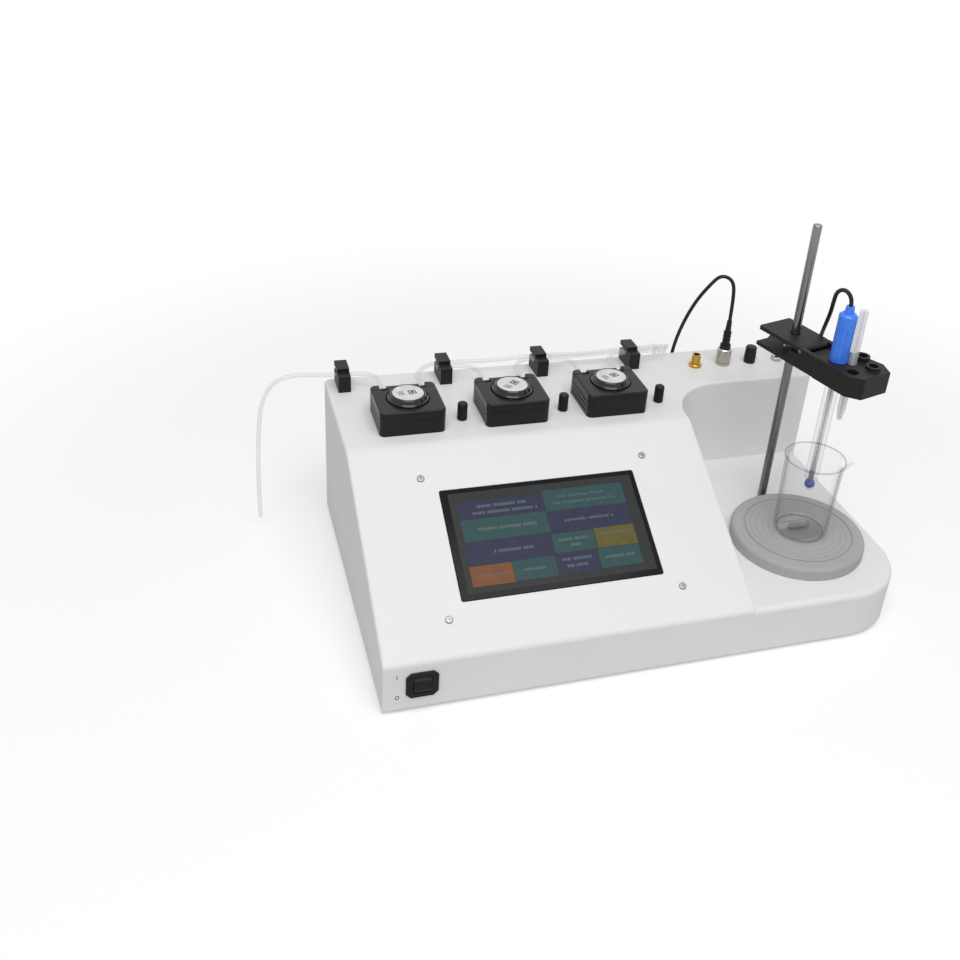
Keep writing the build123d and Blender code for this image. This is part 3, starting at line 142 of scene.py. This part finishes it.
def finish(name, colour, rough=0.5, metal=0.0, coat=0.0, spread=0.04, grain=900.0, bump=0.05,
           rough_spread=0.06, stretch=(1, 1, 1), edge=0.0, specular=0.5, coat_rough=0.1, blotch=18.0):
    """A principled material with fine grain, soft blotches of tone and, where asked, rounded edges."""
    material, tree = new_material(name)
    make = tree.nodes.new
    out = make("ShaderNodeOutputMaterial")
    shader = make("ShaderNodeBsdfPrincipled")
    link(tree, shader.outputs["BSDF"], out.inputs["Surface"])
    shader.inputs["Metallic"].default_value = metal
    shader.inputs["Coat Weight"].default_value = coat
    shader.inputs["Coat Roughness"].default_value = coat_rough
    shader.inputs["Specular IOR Level"].default_value = specular
    coords = make("ShaderNodeTexCoord")
    mapping = make("ShaderNodeMapping")
    mapping.inputs["Scale"].default_value = stretch
    link(tree, coords.outputs["Object"], mapping.inputs["Vector"])
    fine = make("ShaderNodeTexNoise")
    fine.inputs["Scale"].default_value = grain
    fine.inputs["Detail"].default_value = 3
    link(tree, mapping.outputs["Vector"], fine.inputs["Vector"])
    broad = make("ShaderNodeTexNoise")
    broad.inputs["Scale"].default_value = blotch
    broad.inputs["Detail"].default_value = 2
    link(tree, coords.outputs["Object"], broad.inputs["Vector"])
    ramp = make("ShaderNodeValToRGB")
    low = [max(0.0, c * (1 - spread)) for c in colour]
    high = [min(1.0, c * (1 + spread)) for c in colour]
    ramp.color_ramp.elements[0].position = 0.3
    ramp.color_ramp.elements[0].color = (*low, 1)
    ramp.color_ramp.elements[1].position = 0.7
    ramp.color_ramp.elements[1].color = (*high, 1)
    link(tree, broad.outputs["Fac"], ramp.inputs["Fac"])
    link(tree, ramp.outputs["Color"], shader.inputs["Base Color"])
    roughness = spread_over(tree, fine.outputs["Fac"], max(0.02, rough - rough_spread),
                            min(1.0, rough + rough_spread))
    link(tree, roughness, shader.inputs["Roughness"])
    relief = make("ShaderNodeBump")
    relief.inputs["Strength"].default_value = bump
    relief.inputs["Distance"].default_value = 0.0004
    link(tree, fine.outputs["Fac"], relief.inputs["Height"])
    if edge:
        rounding = make("ShaderNodeBevel")
        rounding.samples = 6
        rounding.inputs["Radius"].default_value = edge
        link(tree, rounding.outputs["Normal"], relief.inputs["Normal"])
    link(tree, relief.outputs["Normal"], shader.inputs["Normal"])
    return material


def clear(name, colour, edge_tone_and_shade, rough=0.02, rim=0.3, veil=0.0, shine=0.7, bump=0.0):
    """Thin clear glass or plastic: see-through, with a diffuse tone towards its edges and a gloss. On milky
    plastic that tone is its own; on clear glass a dark edge tone is painted shade for the dark edges of the
    glass.
    """
    material, tree = new_material(name)
    make = tree.nodes.new
    out = make("ShaderNodeOutputMaterial")
    through = make("ShaderNodeBsdfTransparent")
    through.inputs["Color"].default_value = (*colour, 1)
    gloss = make("ShaderNodeBsdfGlossy")
    gloss.inputs["Roughness"].default_value = rough
    body = make("ShaderNodeBsdfDiffuse")
    noise = make("ShaderNodeTexNoise")
    noise.inputs["Scale"].default_value = 90
    streaks = make("ShaderNodeValToRGB")
    streaks.color_ramp.elements[0].color = (*[c * 0.86 for c in edge_tone_and_shade], 1)
    streaks.color_ramp.elements[1].color = (*edge_tone_and_shade, 1)
    link(tree, noise.outputs["Fac"], streaks.inputs["Fac"])
    link(tree, streaks.outputs["Color"], body.inputs["Color"])
    relief = make("ShaderNodeBump")
    relief.inputs["Strength"].default_value = bump
    relief.inputs["Distance"].default_value = 0.0005
    link(tree, noise.outputs["Fac"], relief.inputs["Height"])
    link(tree, relief.outputs["Normal"], gloss.inputs["Normal"])
    facing = make("ShaderNodeLayerWeight")
    facing.inputs["Blend"].default_value = 0.5
    facing = facing.outputs["Facing"]
    # Towards the edges the see-through gives way to the diffuse edge tone: painted shade where it is dark on
    # clear glass, the own milky tone of plastic.
    cover = spread_over(tree, arithmetic(tree, "POWER", facing, 5.0), veil, min(1.0, veil + rim))
    mirror = spread_over(tree, arithmetic(tree, "POWER", facing, 6.0), 0.035, shine)
    side = make("ShaderNodeNewGeometry")
    outer = arithmetic(tree, "SUBTRACT", 1.0, side.outputs["Backfacing"])
    surface = blend(tree, cover, through.outputs["BSDF"], body.outputs["BSDF"])
    surface = blend(tree, arithmetic(tree, "MULTIPLY", mirror, outer), surface, gloss.outputs["BSDF"])
    link(tree, surface, out.inputs["Surface"])
    return material


white_paint = finish("white_paint", (0.845, 0.845, 0.848), rough=0.45, spread=0.012, grain=1400, bump=0.035,
                     rough_spread=0.05, edge=0.0007, specular=0.35)
grey_plate = finish("grey_plate", (0.5, 0.5, 0.5), rough=0.5)
foot_rubber = finish("foot_rubber", (0.03, 0.03, 0.03), rough=0.8, bump=0.2)
steel = finish("steel", (0.5, 0.49, 0.48), rough=0.28, metal=1.0, grain=300, stretch=(1, 1, 8), bump=0.03)
zinc = finish("zinc_screw", (0.33, 0.33, 0.325), rough=0.32, metal=1.0, grain=700, bump=0.08, edge=0.0003)
rod_steel = finish("rod_steel", (0.23, 0.218, 0.214), rough=0.2, metal=1.0, grain=700, stretch=(1, 1, 0.03),
                   bump=0.12, spread=0.12)
black_gloss = finish("black_gloss", (0.009, 0.009, 0.0095), rough=0.24, coat=0.06, coat_rough=0.08,
                     spread=0.2, grain=1500, bump=0.05, edge=0.0009, specular=0.22)
black_cap = finish("black_cap", (0.006, 0.006, 0.0065), rough=0.14, coat=0.35, coat_rough=0.05, spread=0.2,
                   bump=0.03, edge=0.0006, specular=0.3)
black_satin = finish("black_satin", (0.012, 0.012, 0.0125), rough=0.42, spread=0.15, grain=1600, bump=0.12,
                     edge=0.0006, specular=0.22)
black_matte = finish("black_matte", (0.011, 0.0105, 0.011), rough=0.5, spread=0.2, grain=1800, bump=0.2,
                     edge=0.0008, specular=0.25)
glass_black = finish("glass_black", (0.007, 0.007, 0.011), rough=0.12, spread=0.3, bump=0.0,
                     rough_spread=0.03, specular=0.12)
module_grey = finish("module_grey", (0.08, 0.08, 0.085), rough=0.5)
frame_grey = finish("frame_grey", (0.2, 0.2, 0.2), rough=0.55)
board_green = finish("board_green", (0.03, 0.16, 0.07), rough=0.4, grain=300, bump=0.2)
case_alloy = finish("case_alloy", (0.6, 0.6, 0.6), rough=0.35, metal=1.0, grain=400, bump=0.05)
roller_white = finish("roller_white", (0.72, 0.72, 0.7), rough=0.4)
gold = finish("gold", (0.52, 0.32, 0.07), rough=0.2, metal=1.0, grain=500, bump=0.04, edge=0.0003)
nickel = finish("nickel", (0.48, 0.455, 0.41), rough=0.2, metal=1.0, grain=600, bump=0.05, edge=0.0003)
stir_grey = finish("stir_grey", (0.42, 0.427, 0.425), rough=0.6, spread=0.035, grain=1300, bump=0.22,
                   edge=0.0006, specular=0.3)
iron = finish("iron", (0.2, 0.2, 0.2), rough=0.5, metal=1.0)
polymer = finish("white_polymer", (0.86, 0.86, 0.85), rough=0.35, spread=0.02)
cap_blue = finish("cap_blue", (0.058, 0.25, 1.0), rough=0.3, coat=0.2, spread=0.06, grain=800, bump=0.05,
                  edge=0.0005, specular=0.35)
bulb_blue = finish("bulb_blue", (0.05, 0.06, 0.42), rough=0.2, coat=0.4, spread=0.2, blotch=300)
wire_grey = finish("wire_grey", (0.42, 0.42, 0.42), rough=0.4)
lead_black = finish("lead_black", (0.012, 0.012, 0.0125), rough=0.42, spread=0.2, grain=700, bump=0.15,
                    specular=0.3)
# Beaker, electrode stem and rim bead: their dark edge grey is painted shade of the glass's edges.
beaker_glass = clear("beaker_glass", (0.99, 0.993, 0.993), (0.3, 0.31, 0.31), rough=0.03, rim=0.8, shine=0.6,
                     bump=0.12)
stem_glass = clear("stem_glass", (0.975, 0.98, 0.985), (0.5, 0.5, 0.5), rough=0.05, rim=0.6, veil=0.03,
                   bump=0.1)
stem_core = clear("stem_core", (0.98, 0.98, 0.98), (0.86, 0.86, 0.85), rough=0.08, rim=0.6, veil=0.16,
                  bump=0.1)
bar_clear = clear("bar_clear", (0.97, 0.97, 0.97), (0.7, 0.7, 0.7), rough=0.05, rim=0.5, veil=0.1, bump=0.1)
rim_glass = clear("rim_glass", (0.93, 0.94, 0.94), (0.3, 0.31, 0.31), rough=0.04, rim=0.75, veil=0.16,
                  shine=0.8, bump=0.1)
soft_tube = clear("soft_tube", (0.97, 0.975, 0.98), (0.78, 0.79, 0.8), rough=0.14, rim=0.4, veil=0.16,
                  shine=0.5, bump=0.15)
pipette_white = clear("pipette_white", (0.975, 0.975, 0.985), (0.93, 0.92, 0.95), rough=0.2, rim=0.35,
                      veil=0.34, shine=0.5, bump=0.1)

looks = {
    white_paint: ["housing_shell"],
    grey_plate: ["base_plate"],
    foot_rubber: ["rubber_feet"],
    zinc: ["base_screws", "display_screws", "clip_pin"],
    steel: ["clip_spring", "pump_motors", "stir_motor"],
    glass_black: ["display_window"],
    module_grey: ["display_module"],
    frame_grey: ["display_frame", "trim_controls"],
    board_green: ["control_board"],
    case_alloy: ["power_supply"],
    black_satin: ["power_inlet", "switch_frame", "switch_rocker", "tube_combs", "ground_post", "ground_nut",
                  "trim_knob_1", "trim_knob_2", "trim_knob_3"],
    nickel: ["data_port", "bnc_socket", "bnc_nut", "temperature_socket"],
    gold: ["signal_socket"],
    black_gloss: [f"pump_{n}_{part}" for n in (1, 2, 3) for part in ("body", "cover")],
    black_cap: [f"pump_{n}_rotor" for n in (1, 2, 3)],
    roller_white: [f"pump_{n}_roller_{side}" for n in (1, 2, 3) for side in "ab"],
    stir_grey: ["stir_plate"],
    iron: ["stir_magnet"],
    bar_clear: ["stir_bar"],
    rod_steel: ["stand_rod"],
    black_matte: ["holder_body", "release_plate"],
    stem_glass: ["electrode_shaft"],
    cap_blue: ["electrode_cap"],
    pipette_white: ["dosing_tube"],
    beaker_glass: ["beaker"],
    lead_black: ["bnc_plug"],
}
for material, names in looks.items():
    for name in names:
        slots = nodes[name].material_slots
        if not slots:
            nodes[name].data.materials.append(material)
        for material_slot in slots:
            material_slot.material = material


# --- Pieces -----------------------------------------------------------------------------------
def add_piece(name, mesh, material, body="main", smooth=False):
    """Links a mesh piece, gives it its material and hangs it on its body."""
    piece = bpy.data.objects.new(name, mesh)
    scene.collection.objects.link(piece)
    mesh.materials.append(material)
    if smooth:
        for polygon in mesh.polygons:
            polygon.use_smooth = True
    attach(piece, body)


def mesh_from(work, name):
    mesh = bpy.data.meshes.new(name)
    work.to_mesh(mesh)
    work.free()
    return mesh


def slab(work, matrix, width, height, thickness, corner=0.0, steps=5):
    """Flat plate with rounded corners on a drawing plane, sizes in metres, from z 0 up."""
    half_w, half_h = width / 2, height / 2
    corner = min(corner, half_w * 0.999, half_h * 0.999)
    outline = []
    for quarter, (sx, sy) in enumerate(((1, 1), (-1, 1), (-1, -1), (1, -1))):
        for step in range(steps + 1 if corner else 1):
            angle = math.pi / 2 * (quarter + (step / steps if corner else 0))
            outline.append((sx * (half_w - corner) + corner * math.cos(angle),
                            sy * (half_h - corner) + corner * math.sin(angle)))
    low = [work.verts.new(matrix @ Vector((x, y, 0))) for x, y in outline]
    high = [work.verts.new(matrix @ Vector((x, y, thickness))) for x, y in outline]
    work.faces.new(high)
    work.faces.new(low[::-1])
    for i in range(len(outline)):
        j = (i + 1) % len(outline)
        work.faces.new((low[i], low[j], high[j], high[i]))


def cord(name, route, radius, body, material):
    """Round cord along a route in the housing's millimetres."""
    curve = bpy.data.curves.new(name, "CURVE")
    curve.dimensions = "3D"
    curve.bevel_depth = radius / 1000
    curve.bevel_resolution = 5
    curve.resolution_u = 10
    curve.use_fill_caps = True
    spline = curve.splines.new("NURBS")
    spline.points.add(len(route) - 1)
    for point, at in zip(spline.points, route):
        point.co = (*place(*at), 1)
    spline.order_u = 3
    spline.use_endpoint_u = True
    piece = bpy.data.objects.new(name, curve)
    scene.collection.objects.link(piece)
    curve.materials.append(material)
    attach(piece, body)
    return piece


# --- Cords ------------------------------------------------------------------------------------
upper_route = [(410.057, 96.967, 275.0), (410.057, 96.967, 281.5), (405.0, 101.5, 288.5),
               (401.3, 108.2, 284.5), (404.3, 114.0, 270.5), (409.3, 121.5, 260.0), (415.2, 132.0, 246.3),
               (422.3, 145.0, 231.0), (427.5, 154.5, 218.0), (430.0, 159.0, 207.0), (430.0, 159.0, 198.0)]
lower_route = [(430, 159, 198), (430, 159, 180), (437, 177, 174), (448, 204, 169), (457, 232, 164),
               (462, 260, 159), (464.5, 283, 153.5), (466, 298.5, 146), (466.5, 304.5, 129),
               (466.5, 305, 100), (465, 306, 65), (462, 308, 29), (451, 310, 5), (431, 313, -0.9),
               (405, 314, -0.9), (380, 312, 1), (363, 308, 13), (357.5, 305, 35), (356.5, 304, 65),
               (356.3, 303.5, 98), (356.5, 303, 126), (357, 299, 147), (358.5, 293, 167),
               (361.5, 286.5, 186.5), (366.3, 281, 203.5), (373.5, 275.5, 219), (381.5, 271.4, 231),
               (392.5, 266.2, 227.5), (396, 265, 212), (396, 265, 184)]
left_tail = [(-66, 268, 9), (-66, 270, 36), (-65, 273, 68), (-63, 276, 100), (-59, 278, 128),
             (-48, 279, 147), (-30, 279, 152.5), (-10, 278.6, 151), (5, 278.6, 149.5)]
inlet_bends = [(35.0, 41.6), (23.3, 39.0), (17.5, 33.5), (16.2, 26.0), (16.4, 13.0)]
outlet_bends = [(19.6, 14.0), (19.9, 27.0), (24.5, 39.0)]
LOOP_RADIUS = 17.65
tube_drop = [(-9.0, 0, 150.0), (-2.0, 294, 147.5), (0.0, 301.5, 137.0), (0.5, 303.0, 118.0),
             (0.5, 303.5, 90.0), (0.0, 304.0, 60.0)]


def pump_tube_route(number):
    """The route of one pump's tube: its inlet, the loop round the rotor, and the way over the combs."""
    middle = FIRST_PUMP + PUMP_PITCH * number
    lane = 287.0 - 4.2 * number
    level = SHELF + 13.5
    back = 237.0
    route = list(left_tail) if number == 0 else [(FIRST_COMB + PUMP_PITCH * number - 7.5, 278.6, level)]
    route += [(middle - out, back + behind, level) for out, behind in inlet_bends]
    route += [(middle + side, along, level) for side, along in (
        (-LOOP_RADIUS, back - 1), (-LOOP_RADIUS, ROTOR_Y - LOOP_RADIUS),
        (LOOP_RADIUS, ROTOR_Y - LOOP_RADIUS), (LOOP_RADIUS, back - 1))]
    route += [(middle + out, back + behind, level) for out, behind in outlet_bends]
    combs = [FIRST_COMB + PUMP_PITCH * i for i in range(number + 1, 4)]
    for comb in combs:
        route += [(comb - 10, lane, level), (comb + 10, lane, level)]
        if comb != combs[-1]:
            route += [(comb + PUMP_PITCH / 2, lane, level - 2.0)]
    drop_x = 336.0 + 5.5 * number
    route += [(drop_x + over, max(behind, lane), height) for over, behind, height in tube_drop]
    return route


cord("electrode_lead_upper", upper_route, 1.8, "holder", lead_black)
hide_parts("electrode_cable_upper")
cord("electrode_lead_lower", lower_route, 1.8, "main", lead_black)
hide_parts("electrode_cable_lower")
for number, length in enumerate((0.762, 0.476, 0.388)):
    tube = cord(f"soft_tube_{number + 1}", pump_tube_route(number), 1.9, "main", soft_tube)
    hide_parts(f"pump_{number + 1}_tube")

# --- Stage --------------------------------------------------------------------------------------
floor_material, tree = new_material("floor")
make = tree.nodes.new
out = make("ShaderNodeOutputMaterial")
paint = make("ShaderNodeBsdfDiffuse")
paint.inputs["Color"].default_value = (0.72, 0.72, 0.72, 1)
glow = make("ShaderNodeEmission")
glow.inputs["Color"].default_value = (1, 1, 1, 1)
both = make("ShaderNodeAddShader")
path = make("ShaderNodeLightPath")
link(tree, arithmetic(tree, "MULTIPLY", path.outputs["Is Camera Ray"], 0.34), glow.inputs["Strength"])
link(tree, paint.outputs["BSDF"], both.inputs[0])
link(tree, glow.outputs["Emission"], both.inputs[1])
away = make("ShaderNodeTexCoord")
distance = make("ShaderNodeVectorMath")
distance.operation = "LENGTH"
link(tree, away.outputs["Object"], distance.inputs[0])
fade = make("ShaderNodeMapRange")
fade.interpolation_type = "SMOOTHSTEP"
fade.inputs["From Min"].default_value = 0.42
fade.inputs["From Max"].default_value = 0.85
link(tree, distance.outputs["Value"], fade.inputs["Value"])
open_air = make("ShaderNodeBsdfTransparent")
ground = blend(tree, fade.outputs["Result"], both.outputs["Shader"], open_air.outputs["BSDF"])
link(tree, ground, out.inputs["Surface"])
floor_work = bmesh.new()
bmesh.ops.create_grid(floor_work, x_segments=1, y_segments=1, size=1.2)
floor_mesh = mesh_from(floor_work, "floor")
floor_mesh.materials.append(floor_material)
floor = bpy.data.objects.new("floor", floor_mesh)
scene.collection.objects.link(floor)

world = bpy.data.worlds.new("world")
scene.world = world
world.use_nodes = True
tree = world.node_tree
tree.nodes.clear()
make = tree.nodes.new
out = make("ShaderNodeOutputWorld")
sky = make("ShaderNodeBackground")
sky.inputs["Color"].default_value = (1, 1, 1, 1)
path = make("ShaderNodeLightPath")
direct = arithmetic(tree, "MAXIMUM", path.outputs["Is Camera Ray"], path.outputs["Is Transmission Ray"])
direct = arithmetic(tree, "MAXIMUM", direct, path.outputs["Is Glossy Ray"])
link(tree, spread_over(tree, direct, 0.4, 1.0), sky.inputs["Strength"])
link(tree, sky.outputs["Background"], out.inputs["Surface"])


def lamp(name, at, aim, width, height, power):
    """Soft area lamp in metres and watts."""
    light = bpy.data.lights.new(name, "AREA")
    light.shape = "RECTANGLE"
    light.size = width
    light.size_y = height
    light.energy = power
    stand = bpy.data.objects.new(name, light)
    stand.location = at
    stand.rotation_euler = (Vector(aim) - Vector(at)).to_track_quat("-Z", "Y").to_euler()
    scene.collection.objects.link(stand)


lamp("top_lamp", (-0.2, -0.95, 2.15), (0, 0, 0.1), 2.0, 1.8, 34)


# --- Screen picture -----------------------------------------------------------------------------
def tone(name, colour):
    return finish(name, colour, rough=0.3, spread=0.07, blotch=120, grain=2500, bump=0.0, specular=0.12)


lcd_grey = tone("lcd_grey", (0.036, 0.037, 0.037))
tile_navy = tone("tile_navy", (0.036, 0.039, 0.075))
tile_teal = tone("tile_teal", (0.036, 0.081, 0.083))
tile_olive = tone("tile_olive", (0.125, 0.105, 0.03))
tile_orange = tone("tile_orange", (0.2, 0.08, 0.036))
tile_pale = tone("tile_pale", (0.11, 0.145, 0.16))

GLASS = 0.6
screen = bmesh.new()
slab(screen, slope_matrix(159.0, 94.6, GLASS), 0.1636, 0.0905, 0.00004, 0.0008)
add_piece("screen_area", mesh_from(screen, "screen_area"), lcd_grey)

tiles = {
    tile_navy: [(84, 157.4, 115, 131), (82.4, 157.2, 73.3, 93.7), (157.4, 231, 93.2, 113.0),
                (155.8, 192.3, 55.6, 74.0)],
    tile_teal: [(83.2, 157.3, 94.2, 114.4), (118.3, 155.3, 55.2, 73), (158.2, 231, 113.5, 133.5),
                (157.2, 194, 74.6, 92.4), (193.2, 230.5, 56.2, 74.4)],
    tile_olive: [(194.8, 231, 74.8, 93)],
    tile_orange: [(82.2, 117.8, 54.6, 72.4)],
}
for material, boxes in tiles.items():
    work = bmesh.new()
    for low_x, high_x, low_s, high_s in boxes:
        slab(work, slope_matrix((low_x + high_x) / 2, (low_s + high_s) / 2, GLASS + 0.04),
             (high_x - low_x) / 1000, (high_s - low_s) / 1000, 0.00004, 0.0006)
    add_piece("screen_" + material.name, mesh_from(work, material.name), material)

bars = bmesh.new()
rows = [(100, 143, 125.5), (95, 152, 119.5), (96, 148, 104.5), (106, 140, 83.5), (170, 214, 126.5),
        (165, 224, 120.5), (172, 216, 103.5), (162, 188, 86.2), (172, 182, 80.8), (199, 226, 87.5),
        (210, 217, 81.5), (161, 187, 68.2), (164, 184, 62.2), (199, 226, 65.8), (89, 112, 63.6),
        (127, 147, 64.0)]
for low_x, high_x, along in rows:
    cursor = low_x
    count = 0
    while cursor < high_x - 1.5:
        width = 0.7 + 0.35 * ((count * 5 + int(along)) % 3)
        gap = 2.2 if (count * 7 + int(along)) % 13 == 5 else 0.45
        high = 1.5 + 0.55 * ((count * 3 + int(along)) % 3)
        slab(bars, slope_matrix(cursor + width / 2, along + (2.6 - high) / 2 * (1 if count % 2 else -1),
                                GLASS + 0.08), width / 1000, high / 1000, 0.00003, 0.0001)
        cursor += width + gap
        count += 1
add_piece("screen_marks", mesh_from(bars, "screen_marks"), tile_pale)

# --- Discs on the pump caps -----------------------------------------------------------------------
disc_white = finish("disc_white", (0.7, 0.7, 0.7), rough=0.25, metal=0.25, spread=0.12, grain=700, blotch=90)
disc_dark = finish("disc_dark", (0.05, 0.05, 0.055), rough=0.4, spread=0.1)


def close_rows(work, rows):
    """Faces round a closed row of closed sections."""
    for i, near in enumerate(rows):
        far = rows[(i + 1) % len(rows)]
        for j in range(len(near)):
            k = (j + 1) % len(near)
            work.faces.new((near[j], far[j], far[k], near[k]))


def ring(work, centre, inner, outer, z, thickness, steps=64):
    """Flat ring in metres round a vertical axis."""
    rows = []
    for i in range(steps):
        angle = math.tau * i / steps
        c, s = math.cos(angle), math.sin(angle)
        rows.append([work.verts.new((centre.x + r * c, centre.y + r * s, h))
                     for r, h in ((inner, z), (outer, z), (outer, z + thickness), (inner, z + thickness))])
    close_rows(work, rows)


for number, turn in enumerate((0.15, 0.75, 0.35)):
    centre = place(FIRST_PUMP + PUMP_PITCH * number, ROTOR_Y, 0)
    top = place(0, 0, SHELF + 27.6).z
    body = f"pump_{number + 1}_turning"
    work = bmesh.new()
    ring(work, centre, 0.0002, 0.0137, top, 0.00018)
    add_piece(f"cap_disc_{number + 1}", mesh_from(work, "cap_disc"), disc_white, body)
    work = bmesh.new()
    flat = Matrix.Translation((centre.x, centre.y, top + 0.0002)) @ Matrix.Rotation(turn, 4, "Z")
    for low, high in ((0.0, 0.0016), (0.0024, 0.0034)):
        for side in range(4):
            quarter = Matrix.Rotation(math.tau * side / 4, 4, "Z")
            slab(work, flat @ Matrix.Translation((0.0038, 0.0, 0)) @ quarter @ Matrix.Translation(
                (0, (low + high) / 2, 0)), 2 * high if low else high, high - low, 0.00008)
    for shift in (-0.0082, -0.0064, -0.0046):
        slab(work, flat @ Matrix.Translation((shift, 0.0006, 0)), 0.0007, 0.0085 + shift / 4, 0.00008)
    add_piece(f"cap_mark_{number + 1}", mesh_from(work, "cap_mark"), disc_dark, body)

# --- Inside of the electrode ----------------------------------------------------------------------
bulb_work = bmesh.new()
bmesh.ops.create_uvsphere(bulb_work, u_segments=40, v_segments=24, radius=0.0047)
bulb_centre = place(*ELECTRODE, 98.6)
for vertex in bulb_work.verts:
    vertex.co.z = min(vertex.co.z, 0.003)
    vertex.co += bulb_centre
bmesh.ops.remove_doubles(bulb_work, verts=bulb_work.verts, dist=1e-7)
add_piece("electrode_bulb", mesh_from(bulb_work, "electrode_bulb"), bulb_blue, "holder",
          smooth=True)
core_work = bmesh.new()
core_at = place(*ELECTRODE, 0)
core_low = place(0, 0, 101.5).z
ring(core_work, core_at, 0.0019, 0.0027, core_low, 0.104, steps=32)
add_piece("electrode_core", mesh_from(core_work, "electrode_core"), stem_core, "holder",
          smooth=True)
wire_work = bmesh.new()
ring(wire_work, core_at, 0.0001, 0.00045, core_low, 0.104, steps=12)
add_piece("electrode_wire", mesh_from(wire_work, "electrode_wire"), wire_grey, "holder",
          smooth=True)

# --- Bead of the beaker's rim and the ring that its foot makes --------------------------------------
def torus(work, centre, major, minor, steps=96, sides=12):
    """Round ring in metres about a vertical axis."""
    rows = []
    for i in range(steps):
        angle = math.tau * i / steps
        rows.append([work.verts.new((centre.x + (major + minor * math.cos(turn)) * math.cos(angle),
                                     centre.y + (major + minor * math.cos(turn)) * math.sin(angle),
                                     centre.z + minor * math.sin(turn)))
                     for turn in (math.tau * j / sides for j in range(sides))])
    close_rows(work, rows)


bead_work = bmesh.new()
torus(bead_work, place(*BEAKER, STIR_TOP + BEAKER_HEIGHT - 0.8), 0.0266, 0.00072)
torus(bead_work, place(*BEAKER, STIR_TOP + 1.5), 0.0212, 0.0005)
add_piece("beaker_bead", mesh_from(bead_work, "beaker_bead"), rim_glass, "beaker_body",
          smooth=True)

# --- Rings on the stirrer's top, darker grey painted as the shade in its pressed grooves -------------
# Flat bands a little darker than the plate: painted shade standing in for the shade that falls in the top's
# pressed grooves.
painted_groove_shade = finish("painted_groove_shade", (0.36, 0.366, 0.366), rough=0.65, spread=0.04, grain=1300, bump=0.2,
                    specular=0.25)
ring_work = bmesh.new()
for radius in (0.0265, 0.0325, 0.0385, 0.0435):
    ring(ring_work, place(*STIR_CENTRE, 0), radius, radius + 0.0009, place(0, 0, STIR_TOP).z - 0.00002,
         0.00006, steps=96)
add_piece("stir_rings", mesh_from(ring_work, "stir_rings"), painted_groove_shade)

# --- Marks beside the switch -------------------------------------------------------------------------
print_dark = finish("print_dark", (0.09, 0.09, 0.095), rough=0.5, spread=0.1)
front_face = Matrix(((1, 0, 0, 0), (0, 0, -1, 0), (0, 1, 0, 0), (0, 0, 0, 1)))
work = bmesh.new()
on_mark = Matrix.Translation(place(11.3, -0.02, 33.6)) @ front_face
slab(work, on_mark, 0.0007, 0.0042, 0.00004)
off = place(11.6, -0.02, 12.9)
OFF_STEPS = 24
rows = []
for i in range(OFF_STEPS):
    angle = -math.tau * i / OFF_STEPS
    rows.append([work.verts.new((off.x + a * math.cos(angle), off.y - d, off.z + b * math.sin(angle)))
                 for a, b, d in ((0.0009, 0.0015, 0), (0.0016, 0.0022, 0), (0.0016, 0.0022, 0.00004),
                                 (0.0009, 0.0015, 0.00004))])
close_rows(work, rows)
add_piece("switch_marks", mesh_from(work, "switch_marks"), print_dark)

bpy.context.view_layer.update()
